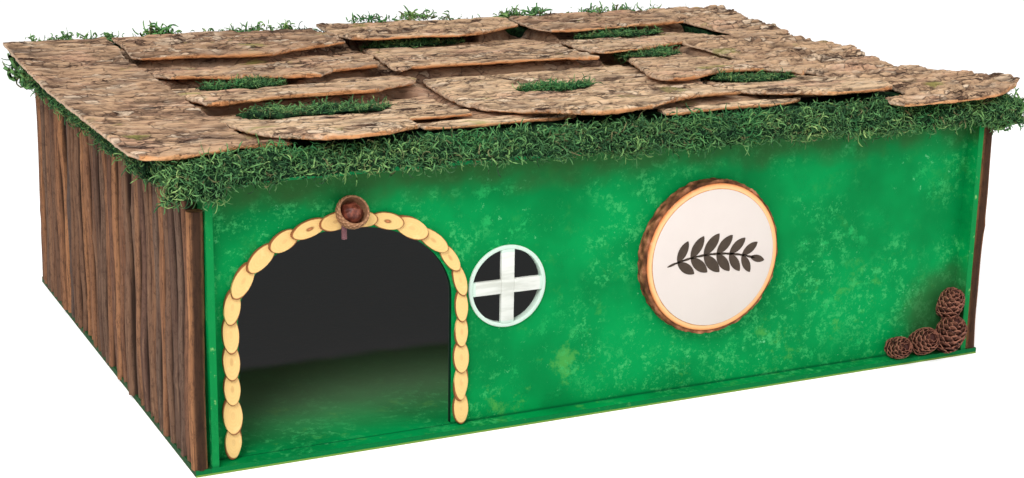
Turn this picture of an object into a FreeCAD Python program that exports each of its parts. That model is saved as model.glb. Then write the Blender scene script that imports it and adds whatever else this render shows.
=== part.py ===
import FreeCAD, Part

import math
import os
import random

from FreeCAD import Placement, Rotation, Vector

# Hedgehog house: a low plywood box with an arched doorway, twig-clad sides and a lift-off
# roof of overlapping bark on a bed of moss. All sizes are in millimetres.
# The origin is the centre of the base board's underside. +X runs to the right as seen from
# the front, +Y runs to the rear and +Z runs up, so the doorway looks along -Y.

# The box
body_width = 530.0
body_depth = 416.0
chamber_height = 161.0
base_thickness = 4.0
wall_thickness = 4.0
panel_thickness = 4.0
roof_thickness = 4.0
panel_recess = 11.0
twig_ledge = 12.5
base_ledge = 9.5

# The doorway, an upright opening under half an ellipse
door_from_left = 85.0
door_width = 130.0
door_rise = 48.0
lintel_height = 33.0

# The oval slices of branch round the doorway
slice_across = 11.0
slice_length = 20.5
slice_thickness = 2.5
slice_pitch = 15.6
slice_overhang = 0.3
slice_sides = 10
slice_least_share = 0.93
slice_most_share = 1.03
slice_turn_angle = 5.0
slice_lift = 0.2

# The acorn cap over the crown of the doorway
cap_radius = 11.35
cap_wall = 1.7
cap_mouth = 2.6
cap_tilt = 34.0
cap_flat = 1.3
cap_lift = 6.2
cap_sides = 12
cap_bottom_share = 0.35
cap_neck_share = 0.5
nut_radius = 7.9
nut_seat = 0.3
stem_radius = 1.5
stem_flare_share = 1.15
stem_slope_share = 0.12
stem_sides = 8
stem_length = 16.0
stem_shift = 4.6

# The nut's outline: levels above its foot and half widths, both in shares of its radius
nut_outline = ((0, 0.30), (0.35, 0.78), (0.95, 1.0), (1.45, 0.86), (1.80, 0.45), (1.92, 0.12))

# The round window
window_from_door = 101.0
window_above_spring = 2.0
window_radius = 25.3
window_band = 2.4
window_proud = 1.2
bar_across = 8.4
bar_thickness = 3.0

# The log slice that serves as a sign
sign_x = 61.0
sign_height = 86.5
sign_radius = 46.0
sign_bark_thickness = 2.2
sign_bark_shift = 0.7
sign_bark_step = 0.6
sign_thickness = 8.0
sign_face_radius = 42.6
sign_face_thickness = 0.6

# The pine cones in the lower right corner
cone_width = 22.0
cone_height = 23.0
cone_scales = 6
cone_whorls = 6
cone_valley_share = 0.80
cone_gap = 0.3

# A cone's core: shares of its height and of its width. A whorl of scales: shares of the step to
# the next whorl and of the whorl's half width
cone_core = ((0, 0.26), (0.6, 0.24), (1.0, 0.08))
cone_whorl = ((0, 0.45), (0.86, 1.0), (1.06, 0.95))

# The twigs on the side walls
twig_radius_min = 4.9
twig_radius_max = 6.1
twig_gap = 0.4
twig_short = 18.0
twig_clear = 2.0
twig_sides = 8
twig_groups = 3
twig_bend_share = 0.55

# The roof's locating battens
batten_width = 12.0
batten_height = 10.0
roof_play = 1.0

# The moss along the eaves
moss_bed = 12.0
moss_seat = 38.0
moss_side_seat = 25.0
moss_level = 2.0
moss_bulge = 12.0
moss_shoulder_share = 0.4
moss_fringe = 4.0
moss_drop = 30.0
moss_clear = 0.4

# The bark
bark_thickness = 3.0
strip_thickness = 2.5
lip_rise = 20.0
bark_sag_share = 0.56
eave_curl = 3.0
curl_starts = 8.0
bark_seat = 0.3
lip_margin = 1.0
plate_height = 1.4
plate_sides = 6
tuft_height = 3.0
tuft_sides = 8

# How far the sheets that bark and tufts are cut from reach past the walls, below and above,
# and how far a cutter reaches past what it cuts
cut_beyond = 60.0
cut_below = 5.0
cut_past = 1.0

# Levels and faces that follow from the sizes above
floor = base_thickness
wall_top = floor + chamber_height
roof_top = wall_top + roof_thickness
half_width = body_width / 2
half_depth = body_depth / 2
door_spring = chamber_height - lintel_height - door_rise
window_height = door_spring + window_above_spring
wall_inside = half_width - wall_thickness
front_face = -half_depth + panel_recess
front_inner = front_face + panel_thickness
door_x = -half_width + door_from_left
window_x = door_x + window_from_door
cladding_face = half_width + twig_ledge


def across(share):
    """A place across the roof, from -1 at the left wall to 1 at the right one."""
    return share * half_width


def along(share):
    """A place along the roof, from 0 at the front rim to 1 at the rear rim."""
    return -half_depth + share * body_depth


def board(x0, x1, y0, y1, z0, z1):
    return Part.makeBox(x1 - x0, y1 - y0, z1 - z0, Vector(x0, y0, z0))


def face_of(edges):
    return Part.Face(Part.Wire(Part.__sortEdges__(edges)))


def line(a, b):
    return Part.LineSegment(a, b).toShape()


def arc(a, b, c):
    return Part.Arc(a, b, c).toShape()


def polygon(points):
    return Part.makePolygon(list(points) + [points[0]])


def ring_of_points(centre, radius, sides, turn=0.0):
    """The corners of a level, regular polygon about a centre."""
    angles = [turn + 2 * math.pi * step / sides for step in range(sides)]
    return [centre + Vector(radius * math.cos(angle), radius * math.sin(angle), 0)
            for angle in angles]


def faceted(sections):
    """A solid through rings of corners, with flat facets between each ring and the next."""
    faces = [Part.Face(polygon(sections[0])), Part.Face(polygon(sections[-1]))]
    for low, high in zip(sections, sections[1:]):
        for here in range(len(low)):
            there = (here + 1) % len(low)
            a, b, c, d = low[here], low[there], high[there], high[here]
            normal = (b - a).cross(d - a)
            if abs(normal.dot(c - a)) < 1e-6 * normal.Length:
                faces.append(Part.Face(polygon([a, b, c, d])))
            else:
                faces.append(Part.Face(polygon([a, b, c])))
                faces.append(Part.Face(polygon([a, c, d])))
    solid = Part.Solid(Part.Shell(faces))
    if solid.Volume < 0:
        solid.reverse()
    return solid


# The boards of the box


def base_board():
    edge = half_width + base_ledge
    return board(-edge, edge, -half_depth, half_depth, 0, floor)


def side_wall(side):
    inner, outer = sorted((side * wall_inside, side * half_width))
    return board(inner, outer, -half_depth, half_depth, floor, wall_top)


def doorway(depth_from, depth_to):
    """The doorway's opening between two depths: straight sides under half an ellipse."""
    half = door_width / 2
    spring = floor + door_spring
    left = Vector(door_x - half, depth_from, spring)
    right = Vector(door_x + half, depth_from, spring)
    left_foot = Vector(left.x, depth_from, floor)
    right_foot = Vector(right.x, depth_from, floor)
    ellipse = Part.Ellipse(right, Vector(door_x, depth_from, spring + door_rise),
                           Vector(door_x, depth_from, spring))
    crown = Part.ArcOfEllipse(ellipse, 0, math.pi).toShape()
    edges = [crown, line(left, left_foot), line(left_foot, right_foot), line(right_foot, right)]
    return face_of(edges).extrude(Vector(0, depth_to - depth_from, 0))


def disc_forward(x, z, radius, back, front):
    """A flat disc facing the front, from its back plane to its front plane."""
    return Part.makeCylinder(radius, back - front, Vector(x, back, z), Vector(0, -1, 0))


def front_panel():
    panel = board(-wall_inside, wall_inside, front_face, front_inner, floor, wall_top)
    panel = panel.cut(doorway(front_face - cut_past, front_inner + cut_past))
    hole = disc_forward(window_x, floor + window_height, window_radius,
                        front_inner + cut_past, front_face - cut_past)
    return panel.cut(hole)


def back_panel():
    outer = half_depth - panel_recess
    return board(-wall_inside, wall_inside, outer - panel_thickness, outer, floor, wall_top)


def roof_board():
    return board(-half_width, half_width, -half_depth, half_depth, wall_top, roof_top)


def roof_batten(side):
    """A strip under the roof board that drops inside a side wall and keeps the roof in place."""
    outer = wall_inside - roof_play
    x0, x1 = sorted((side * outer, side * (outer - batten_width)))
    run = half_depth - panel_recess - panel_thickness - roof_play
    return board(x0, x1, -run, run, wall_top - batten_height, wall_top)


# The round window: a turned ring let into the panel, and two bars halved where they cross


def window_ring():
    """A turned ring through the whole thickness of the panel, a little proud in front."""
    centre = floor + window_height
    front = front_face - window_proud
    tube = disc_forward(window_x, centre, window_radius, front_inner, front)
    bore = disc_forward(window_x, centre, window_radius - window_band,
                        front_inner + cut_past, front - cut_past)
    return tube.cut(bore)


def window_bar(upright):
    centre = floor + window_height
    reach = window_radius - window_band
    half = bar_across / 2
    back = front_face + bar_thickness / 2
    front = back - bar_thickness
    middle = (back + front) / 2
    if upright:
        bar = board(window_x - half, window_x + half, front, back, centre - reach, centre + reach)
        notch = board(window_x - half, window_x + half, middle, back, centre - half, centre + half)
    else:
        bar = board(window_x - reach, window_x + reach, front, back, centre - half, centre + half)
        notch = board(window_x - half, window_x + half, front, middle, centre - half, centre + half)
    return bar.common(disc_forward(window_x, centre, reach, back, front)).cut(notch)


# The sign: a slice cut across a log, with its bark left on and a painted disc on its face


def sign_slice():
    return disc_forward(sign_x, floor + sign_height, sign_radius,
                        front_face, front_face - sign_thickness)


def sign_bark():
    """The bark round the slice, thicker on the left, where the branch grew faster."""
    front = front_face - sign_thickness + sign_bark_step
    ring = disc_forward(sign_x - sign_bark_shift, floor + sign_height,
                        sign_radius + sign_bark_thickness, front_face, front)
    return ring.cut(disc_forward(sign_x, floor + sign_height, sign_radius,
                                 front_face + cut_past, front - cut_past))


def sign_face():
    back = front_face - sign_thickness
    return disc_forward(sign_x, floor + sign_height, sign_face_radius,
                        back, back - sign_face_thickness)


# The slices of branch round the doorway


def trim_path(distance):
    """The point and direction on the middle line of the trim, that far from its left foot."""
    half = door_width / 2 + slice_across / 2 - slice_overhang
    rise = door_rise + slice_across / 2 - slice_overhang
    spring = floor + door_spring
    if distance <= door_spring:
        return Vector(door_x - half, front_face, floor + distance), 90.0
    steps = 400
    travelled, last = door_spring, Vector(door_x - half, front_face, spring)
    for step in range(1, steps + 1):
        angle = math.pi - math.pi * step / steps
        point = Vector(door_x + half * math.cos(angle), front_face,
                       spring + rise * math.sin(angle))
        travelled += (point - last).Length
        if travelled >= distance:
            way = point - last
            return point, math.degrees(math.atan2(way.z, way.x))
        last = point
    return Vector(door_x + half, front_face, spring - (distance - travelled)), -90.0


def trim_length():
    distance = door_spring
    while trim_path(distance)[1] > -90.0:
        distance += 1.0
    return distance + door_spring


def trim_slice(distance, chance):
    """One oval slice, lying flat on the panel with its long way along the trim."""
    point, heading = trim_path(distance)
    long_half = slice_length / 2 * chance.uniform(slice_least_share, slice_most_share)
    short_half = slice_across / 2 * chance.uniform(slice_least_share, slice_most_share)
    turn = Rotation(Vector(0, 1, 0), -heading + chance.uniform(-slice_turn_angle, slice_turn_angle))
    centre = Vector(point.x, point.y, max(point.z, floor + long_half + slice_lift))
    corners = ring_of_points(Vector(0, 0, 0), 1.0, slice_sides)
    oval = polygon([Vector(long_half * at.x, short_half * at.y, 0) for at in corners])
    solid = Part.Face(oval).extrude(Vector(0, 0, slice_thickness))
    solid.Placement = Placement(centre, turn.multiply(Rotation(Vector(1, 0, 0), 90)))
    return solid


def slice_centres():
    """The middle of each slice, as a distance along the trim from its left foot."""
    usable = trim_length() - slice_length
    count = int(usable // slice_pitch) + 1
    return [slice_length / 2 + usable * index / (count - 1) for index in range(count)]


def trim_slices():
    """All the slices from the left foot to the right one; each upper one laps over the one below."""
    chance = random.Random(11)
    centres = slice_centres()
    count = len(centres)
    solids = [trim_slice(centre, chance) for centre in centres]
    crown = trim_length() / 2
    order = sorted(range(count), key=lambda index: abs(centres[index] - crown))
    for place, index in enumerate(order):
        for upper in order[:place]:
            if abs(upper - index) == 1:
                solids[index] = solids[index].cut(solids[upper])
    return solids


def slice_group(low, high):
    """The slices whose middles lie between two distances along the trim."""
    chosen = [solid.Solids[0] for centre, solid in zip(slice_centres(), trim_slices())
              if low < centre <= high]
    return Part.makeCompound(chosen)


# The acorn cap, worked about its own upright axis and then tipped to look forward and up


def acorn_centre():
    slices_front = front_face - slice_thickness
    behind = cap_radius * math.cos(math.radians(cap_tilt)) - cap_flat
    crown = floor + door_spring + door_rise + cap_lift
    return Vector(door_x, slices_front - behind, crown + cap_radius / 3)


def tipped(solid):
    """Turn a solid that opens upwards so that it looks forward and up, at the crown."""
    turned = solid.copy()
    turned.rotate(Vector(0, 0, 0), Vector(1, 0, 0), 90 - cap_tilt)
    turned.translate(acorn_centre())
    return turned


def filed_flat(solid):
    """Take off what would stand behind the front of the slices, where the cap is glued."""
    reach = 4 * cap_radius
    slices_front = front_face - slice_thickness
    centre = acorn_centre()
    behind = board(centre.x - reach, centre.x + reach, slices_front, slices_front + reach,
                   centre.z - reach, centre.z + reach)
    return solid.cut(behind)


def bowl_shell(radius, top, rings):
    """A round bottom below the centre and a straight neck above it, up to the given level."""
    angles = [math.pi / 2 * ring / rings for ring in range(rings)]
    levels = [(-radius * math.cos(angle), radius * math.sin(angle)) for angle in angles[1:]]
    levels = [(-radius, radius * math.sin(angles[1]) * cap_bottom_share)] + levels
    levels += [(0, radius),
               (top, math.sqrt(radius ** 2 - min(top, radius * cap_neck_share) ** 2))]
    return faceted([ring_of_points(Vector(0, 0, level), wide, cap_sides)
                    for level, wide in levels])


def acorn_cap():
    bowl = bowl_shell(cap_radius, cap_mouth, 4)
    hollow = bowl_shell(cap_radius - cap_wall, 2 * cap_mouth, 3)
    return filed_flat(tipped(bowl.cut(hollow)))


def acorn_nut():
    """What is left of the nut: a blunt kernel that rests in the bottom of the cap."""
    foot = nut_seat - (cap_radius - cap_wall)
    nut = faceted([ring_of_points(Vector(0, 0, foot + up * nut_radius),
                                  wide * nut_radius, cap_sides)
                   for up, wide in nut_outline])
    return filed_flat(tipped(nut))


def acorn_stem():
    """The cap's own stalk, which hangs down behind it, in front of the crown of the doorway."""
    centre = acorn_centre()
    y = front_face - slice_thickness - stem_radius - moss_clear
    top = Vector(centre.x - stem_shift, y, centre.z - cap_radius / 3)
    foot = top + Vector(stem_slope_share, 0, -1) * stem_length
    stalk = faceted([ring_of_points(top, stem_radius, stem_sides),
                     ring_of_points(foot, stem_radius * stem_flare_share, stem_sides)])
    return stalk.cut(tipped(bowl_shell(cap_radius, cap_mouth, 4)))


# The pine cones


def star(radius, height, turn):
    """A whorl's scalloped edge: one point and one valley for each scale."""
    tips = ring_of_points(Vector(0, 0, height), radius, cone_scales, turn)
    valleys = ring_of_points(Vector(0, 0, height), radius * cone_valley_share, cone_scales,
                             turn + math.pi / cone_scales)
    return [point for pair in zip(tips, valleys) for point in pair]


def cone_half_width(share):
    """Half the width of an open cone at a share of its height: full low down, narrow at the tip."""
    return cone_width / 2 * math.sin(math.pi * (0.30 + 0.62 * share)) ** 0.8


def pine_cone(size, tilt, spin):
    """A cone with its tip up, tipped forward: a core and whorls of flared scales."""
    height = cone_height * size
    step = height / (cone_whorls + 0.6)
    core = faceted([ring_of_points(Vector(0, 0, up * height), wide * cone_width * size,
                                   cone_scales, spin)
                    for up, wide in cone_core])
    whorls = []
    for row in range(cone_whorls):
        half = cone_half_width((row + 0.5) / cone_whorls) * size
        turn = spin + row * math.pi / cone_scales
        whorls.append(faceted([star(wide * half, (row + up) * step, turn)
                               for up, wide in cone_whorl]))
    solid = core.multiFuse(whorls)
    solid.rotate(Vector(0, 0, 0), Vector(1, 0, 0), tilt)
    return solid.Solids[0]


# Each cone's size as a share of the named one, how far it tips forward, and its turn
CONES = {
    "corner": (1.06, 28, 0.2),
    "second": (0.92, 58, 0.4),
    "first": (0.82, 70, 0.0),
    "upper": (0.98, 24, 0.7),
}


def placed_cones():
    """Each cone touches the panel; three stand in a row and the fourth on the corner one."""
    placed = {}
    edge = wall_inside - cone_gap
    for name in ("corner", "second", "first"):
        cone = pine_cone(*CONES[name])
        box = cone.BoundBox
        cone.translate(Vector(edge - box.XMax, front_face - box.YMax, floor - box.ZMin))
        placed[name] = cone
        edge = cone.BoundBox.XMin - cone_gap
    below = placed["corner"].BoundBox
    upper = pine_cone(*CONES["upper"])
    box = upper.BoundBox
    upper.translate(Vector(below.Center.x - box.Center.x, front_face - box.YMax,
                           below.ZMax + cone_gap - box.ZMin))
    placed["upper"] = upper
    return placed


# The twigs on the side walls


def twig(side, y, radii, height, lean, bow):
    """A tapered, slightly bent stick that stands on the base board against the wall."""
    sections = []
    for radius, share, sway in zip(radii, (0.0, twig_bend_share, 1.0), (0.0, bow, lean)):
        centre = Vector(side * (half_width + radius), y + sway, floor + height * share)
        sections.append(ring_of_points(centre, radius, twig_sides))
    return faceted(sections)


def twig_row(side):
    """The sticks of one side, from the front corner to the rear one, each clear of the next."""
    chance = random.Random(5 if side < 0 else 6)
    solids = []
    edge = -half_depth
    while True:
        low = chance.uniform(twig_radius_min, twig_radius_max)
        middle = low * chance.uniform(0.90, 0.97)
        top = low * chance.uniform(0.84, 0.96)
        bow = chance.uniform(-1, 1) * (low - middle)
        lean = chance.uniform(-1, 1) * (low - top)
        short = twig_short * chance.random() ** 2
        if edge + 2 * low > half_depth:
            break
        height = chamber_height + roof_thickness - twig_clear - short
        solids.append(twig(side, edge + low, (low, middle, top), height, lean, bow))
        edge += 2 * low + twig_gap
    return solids


def twig_group(side, number):
    row = twig_row(side)
    size = math.ceil(len(row) / twig_groups)
    return Part.makeCompound(row[number * size:(number + 1) * size])


# The bark: each piece is its plan outline cut out of a bent sheet


def bent_sheet(lip, rear, lip_height, rear_height, thickness, lift=0.0):
    """A sheet bent about the X axis, from its raised front lip down to its rear edge."""
    middle = (lip + rear) / 2
    sagged = rear_height + (lip_height - rear_height) * bark_sag_share
    x0, x1 = -half_width - cut_beyond, half_width + cut_beyond

    def rim(up):
        return [Vector(x0, y, roof_top + lift + up + z)
                for y, z in ((lip, lip_height), (middle, sagged), (rear, rear_height))]

    under, upper = rim(0), rim(thickness)
    edges = [arc(*under), line(under[2], upper[2]), arc(*upper), line(upper[0], under[0])]
    return face_of(edges).extrude(Vector(x1 - x0, 0, 0))


def side_sheet(side, inner, outer, thickness):
    """A sheet that lies flat on a side's moss and curls up beyond the eave."""
    y0, y1 = -half_depth - cut_beyond, half_depth + cut_beyond
    contact = half_width - curl_starts
    level = roof_top + moss_bed + bark_seat

    def rim(up):
        return [Vector(side * x, y0, level + up + z)
                for x, z in ((inner, 0), (contact, 0), ((contact + outer) / 2, eave_curl / 4),
                             (outer, eave_curl))]

    under, upper = rim(0), rim(thickness)
    edges = [line(under[0], under[1]), arc(*under[1:]), line(under[3], upper[3]),
             arc(*upper[1:]), line(upper[1], upper[0]), line(upper[0], under[0])]
    return face_of(edges).extrude(Vector(0, y1 - y0, 0))


def outline_prism(lip, corners):
    """An upright prism over a piece's plan: its broken front lip, then its sides and rear."""
    points = [Vector(across(u), along(v), roof_top - cut_below) for u, v in lip + corners]
    return Part.Face(polygon(points)).extrude(Vector(0, 0, cut_beyond))


# Plans of the bark pieces as places on the roof: the lip from left to right, then the other
# corners from the right round to the left. The lip's height is a share of the highest lip's,
# and the rear edge lies on the roof board, or on the rear moss where on_moss is true.
SHINGLES = {
    "bark_left_front": dict(
        lip=((-0.858, 0.112), (-0.838, 0.043), (-0.796, 0.000), (-0.746, -0.027),
             (-0.682, -0.031), (-0.606, -0.016), (-0.516, 0.021)),
        corners=((-0.490, 0.103), (-0.325, 0.112), (-0.331, 0.168), (-0.286, 0.300),
                 (-0.245, 0.400), (-0.858, 0.400)),
        rise=0.95, on_moss=False),
    "bark_left_second": dict(
        lip=((-0.861, 0.341), (-0.859, 0.294), (-0.825, 0.286), (-0.748, 0.308),
             (-0.619, 0.323), (-0.494, 0.324), (-0.432, 0.320), (-0.373, 0.352)),
        corners=((-0.300, 0.400), (-0.245, 0.440), (-0.190, 0.560), (-0.175, 0.600),
                 (-0.859, 0.600)),
        rise=0.80, on_moss=False),
    "bark_left_third": dict(
        lip=((-0.845, 0.660), (-0.812, 0.598), (-0.744, 0.577), (-0.655, 0.548),
             (-0.546, 0.504), (-0.466, 0.496)),
        corners=((-0.400, 0.560), (-0.264, 0.580), (-0.245, 0.600), (-0.187, 0.734),
                 (-0.150, 0.860), (-0.845, 0.860)),
        rise=0.65, on_moss=False),
    "bark_left_rear": dict(
        lip=((-0.822, 0.864), (-0.846, 0.762), (-0.823, 0.744), (-0.752, 0.738),
             (-0.674, 0.730), (-0.571, 0.717), (-0.487, 0.708)),
        corners=((-0.400, 0.745), (-0.222, 0.800), (-0.222, 0.985), (-0.812, 0.995)),
        rise=0.68, on_moss=True),
    "bark_centre_front": dict(
        lip=((-0.199, 0.467), (-0.258, 0.328), (-0.303, 0.188), (-0.299, 0.124),
             (-0.275, 0.088), (-0.225, 0.056), (-0.171, 0.030), (-0.099, -0.004),
             (-0.021, -0.002), (0.042, 0.010), (0.119, 0.045), (0.177, 0.070)),
        corners=((0.260, 0.085), (0.365, 0.088), (0.362, 0.159), (0.370, 0.199),
                 (0.440, 0.300), (0.440, 0.550), (-0.155, 0.550)),
        rise=0.95, on_moss=False),
    "bark_centre_middle": dict(
        lip=((-0.173, 0.734), (-0.228, 0.599), (-0.249, 0.539), (-0.247, 0.499),
             (-0.191, 0.542), (-0.026, 0.540), (0.063, 0.541), (0.245, 0.543),
             (0.339, 0.509)),
        corners=((0.343, 0.560), (0.355, 0.640), (0.408, 0.740), (0.408, 0.900),
                 (-0.125, 0.900)),
        rise=0.60, on_moss=False),
    "bark_centre_rear": dict(
        lip=((-0.200, 0.947), (-0.206, 0.879), (-0.192, 0.831), (-0.130, 0.807),
             (-0.049, 0.815), (0.038, 0.807), (0.122, 0.792), (0.198, 0.809)),
        corners=((0.300, 0.850), (0.376, 0.880), (0.400, 0.985), (0.200, 0.998),
                 (-0.184, 1.030)),
        rise=0.70, on_moss=True),
    "bark_right_front": dict(
        lip=((0.384, 0.199), (0.376, 0.159), (0.382, 0.116), (0.406, 0.076),
             (0.476, 0.035), (0.533, 0.009), (0.610, -0.001), (0.674, 0.004),
             (0.725, 0.015)),
        corners=((0.785, 0.080), (0.700, 0.300), (0.665, 0.350), (0.665, 0.440),
                 (0.500, 0.440), (0.453, 0.297)),
        rise=0.95, on_moss=False),
    "bark_right_second": dict(
        lip=((0.346, 0.377), (0.273, 0.271), (0.255, 0.213), (0.279, 0.194),
             (0.327, 0.199), (0.412, 0.226), (0.472, 0.257), (0.534, 0.258),
             (0.592, 0.240), (0.622, 0.197), (0.621, 0.160)),
        corners=((0.665, 0.190), (0.665, 0.660), (0.535, 0.660), (0.427, 0.495)),
        rise=1.00, on_moss=False),
    "bark_right_third": dict(
        lip=((0.423, 0.738), (0.370, 0.638), (0.357, 0.566), (0.376, 0.534),
             (0.443, 0.538), (0.499, 0.547), (0.599, 0.586), (0.697, 0.620),
             (0.779, 0.635), (0.854, 0.641), (0.900, 0.660)),
        corners=((0.900, 0.880), (0.480, 0.880)),
        rise=0.70, on_moss=False),
    "bark_right_rear": dict(
        lip=((0.416, 0.947), (0.394, 0.868), (0.390, 0.822), (0.414, 0.785),
             (0.488, 0.781), (0.578, 0.789), (0.690, 0.799), (0.793, 0.797),
             (0.900, 0.820)),
        corners=((0.900, 0.995), (0.425, 0.995)),
        rise=0.70, on_moss=True),
}

# The two thin strips that lie on the moss under the front lips
STRIPS = {
    "bark_strip_left": dict(
        lip=((-0.480, 0.062), (-0.426, 0.048), (-0.353, 0.049), (-0.225, 0.055),
             (-0.152, 0.053), (-0.100, 0.063)),
        corners=((-0.100, 0.085), (-0.320, 0.092), (-0.480, 0.088))),
    "bark_strip_right": dict(
        lip=((0.097, 0.027), (0.133, 0.022), (0.195, 0.031), (0.307, 0.033),
             (0.387, 0.030), (0.451, 0.036), (0.502, 0.052)),
        corners=((0.480, 0.060), (0.103, 0.058))),
}

# The two long pieces down the sides
SIDES = {
    "bark_left_side": dict(
        side=-1, inner=0.796,
        lip=((-1.150, 0.016), (-1.135, -0.012), (-1.083, -0.012), (-1.005, 0.004),
             (-0.909, 0.027), (-0.796, 0.026)),
        corners=((-0.800, 0.045), (-0.872, 0.050), (-0.874, 0.340), (-0.862, 0.600),
                 (-0.862, 0.760), (-0.838, 0.860), (-0.826, 0.995), (-1.113, 0.984),
                 (-1.137, 0.746), (-1.155, 0.493), (-1.152, 0.295))),
    "bark_right_side": dict(
        side=1, inner=0.674,
        lip=((0.703, 0.014), (0.674, -0.022), (0.692, -0.044), (0.730, -0.049),
             (0.824, -0.046), (0.920, -0.043), (0.999, -0.030), (1.101, 0.010),
             (1.160, 0.042)),
        corners=((1.120, 0.110), (1.060, 0.190), (1.015, 0.240), (1.030, 0.330),
                 (1.085, 0.440), (1.045, 0.500), (1.055, 0.600), (1.110, 0.700),
                 (1.100, 0.770), (1.150, 0.880), (1.160, 0.970), (0.912, 0.995),
                 (0.912, 0.645), (0.780, 0.620), (0.680, 0.595), (0.680, 0.345),
                 (0.715, 0.300), (0.800, 0.078), (0.780, 0.026))),
}


# Where plates of thick old bark stand out of two of the pieces: a plate's middle as a place on
# the roof, its half length across the roof and its half width along it, both as shares
PLATES = {
    "bark_centre_front": ((-0.08, 0.085, 0.13, 0.020), (0.12, 0.150, 0.11, 0.018),
                          (0.11, 0.340, 0.12, 0.020), (-0.12, 0.365, 0.10, 0.018),
                          (0.03, 0.435, 0.14, 0.020)),
    "bark_right_side": ((0.90, 0.010, 0.065, 0.016), (0.89, 0.085, 0.070, 0.018),
                        (0.88, 0.165, 0.080, 0.018), (0.86, 0.255, 0.085, 0.020),
                        (0.90, 0.345, 0.060, 0.018), (0.83, 0.420, 0.090, 0.020),
                        (0.89, 0.500, 0.070, 0.018), (0.84, 0.565, 0.095, 0.016),
                        (1.00, 0.780, 0.060, 0.020)),
}


def oval_prism(u, v, half_u, half_v, sides):
    """An upright prism over an oval of straight sides, with its middle at a place on the roof."""
    middle = Vector(across(u), along(v), roof_top - cut_below)
    oval = [middle + Vector(corner.x * across(half_u), corner.y * half_v * body_depth, 0)
            for corner in ring_of_points(Vector(0, 0, 0), 1.0, sides)]
    return Part.Face(polygon(oval)).extrude(Vector(0, 0, cut_beyond))


def plated(name, piece, thick_sheet):
    """A piece of bark with its plates, which are cut out of a sheet that is thicker than it."""
    plates = [thick_sheet.common(oval_prism(*plate, plate_sides)) for plate in PLATES.get(name, ())]
    return piece.multiFuse(plates).removeSplitter() if plates else piece


def lip_front(plan):
    """The depth of a piece's foremost point."""
    return min(along(v) for u, v in plan["lip"])


def rear_edge(plan):
    return max(along(v) for u, v in plan["corners"])


def shingle(plan, thickness=bark_thickness, lift=0.0):
    """The bent sheet that a piece is cut from, or a layer that lies that much above it."""
    rear_height = moss_bed if plan["on_moss"] else 0.0
    return bent_sheet(lip_front(plan) - lip_margin, rear_edge(plan), plan["rise"] * lip_rise,
                      rear_height, thickness, lift)


def bark_shingle(name):
    plan = SHINGLES[name]
    piece = shingle(plan).common(outline_prism(plan["lip"], plan["corners"]))
    return plated(name, piece, shingle(plan, bark_thickness + plate_height))


def bark_strip(name):
    plan = STRIPS[name]
    low = roof_top + moss_bed
    flat = board(-half_width, half_width, -half_depth - cut_beyond, half_depth,
                 low, low + strip_thickness)
    return flat.common(outline_prism(plan["lip"], plan["corners"]))


def bark_side(name):
    plan = SIDES[name]
    inner = across(plan["inner"]) - lip_margin
    outer = max(abs(across(u)) for u, v in plan["lip"] + plan["corners"]) + lip_margin
    sheet = side_sheet(plan["side"], inner, outer, bark_thickness)
    piece = sheet.common(outline_prism(plan["lip"], plan["corners"]))
    return plated(name, piece,
                  side_sheet(plan["side"], inner, outer, bark_thickness + plate_height))


# The moss: a bed along each eave that bulges over the edge and hangs down in a ragged fringe


def moss_section(outward, origin, clear, seat, drop):
    """One cut through an eave's moss, square to the eave."""
    bulge = clear + moss_bulge
    profile = ((-seat, 0), (-seat, moss_bed), (moss_level, moss_bed),
               (bulge, moss_bed * moss_shoulder_share), (bulge, moss_fringe - drop),
               (bulge - moss_fringe, -drop), (clear, -drop), (clear, 0))
    return [origin + outward * out + Vector(0, 0, up) for out, up in profile]


def moss_run(start, end, outward, clear, seat, drops):
    """A bed of moss from one point of the eave to another; its drops are shares of the longest."""
    sections = []
    for index, drop in enumerate(drops):
        origin = start + (end - start) * (index / (len(drops) - 1))
        sections.append(moss_section(outward, origin, clear, seat, drop * moss_drop))
    return faceted(sections)


def moss_eave(face):
    """The moss of the front (-1) or rear (1) eave, from one corner of the house to the other."""
    edge = cladding_face + moss_bulge
    drops = (1.00, 0.73, 0.30, 0.20, 0.23, 0.30, 0.47, 0.57, 0.50, 0.60, 0.53, 0.60, 0.47, 0.67)
    if face > 0:
        drops = (0.73, 0.40, 0.30, 0.43, 0.27, 0.47, 0.33, 0.60)
    return moss_run(Vector(-edge, face * half_depth, roof_top),
                    Vector(edge, face * half_depth, roof_top),
                    Vector(0, face, 0), moss_clear, moss_seat, drops)


def moss_side(side):
    """The moss of a side eave lies over the tops of the twigs and hangs down outside them."""
    clear = twig_ledge + moss_clear
    reach = half_depth - moss_seat - moss_clear
    drops = (0.87, 0.57, 0.80, 0.53, 0.90, 0.67, 0.87, 0.80)
    if side > 0:
        drops = (0.67, 0.47, 0.60, 0.40, 0.53, 0.43, 0.57, 0.50)
    return moss_run(Vector(side * half_width, -reach, roof_top),
                    Vector(side * half_width, reach, roof_top),
                    Vector(side, 0, 0), clear, moss_side_seat, drops)


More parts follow.
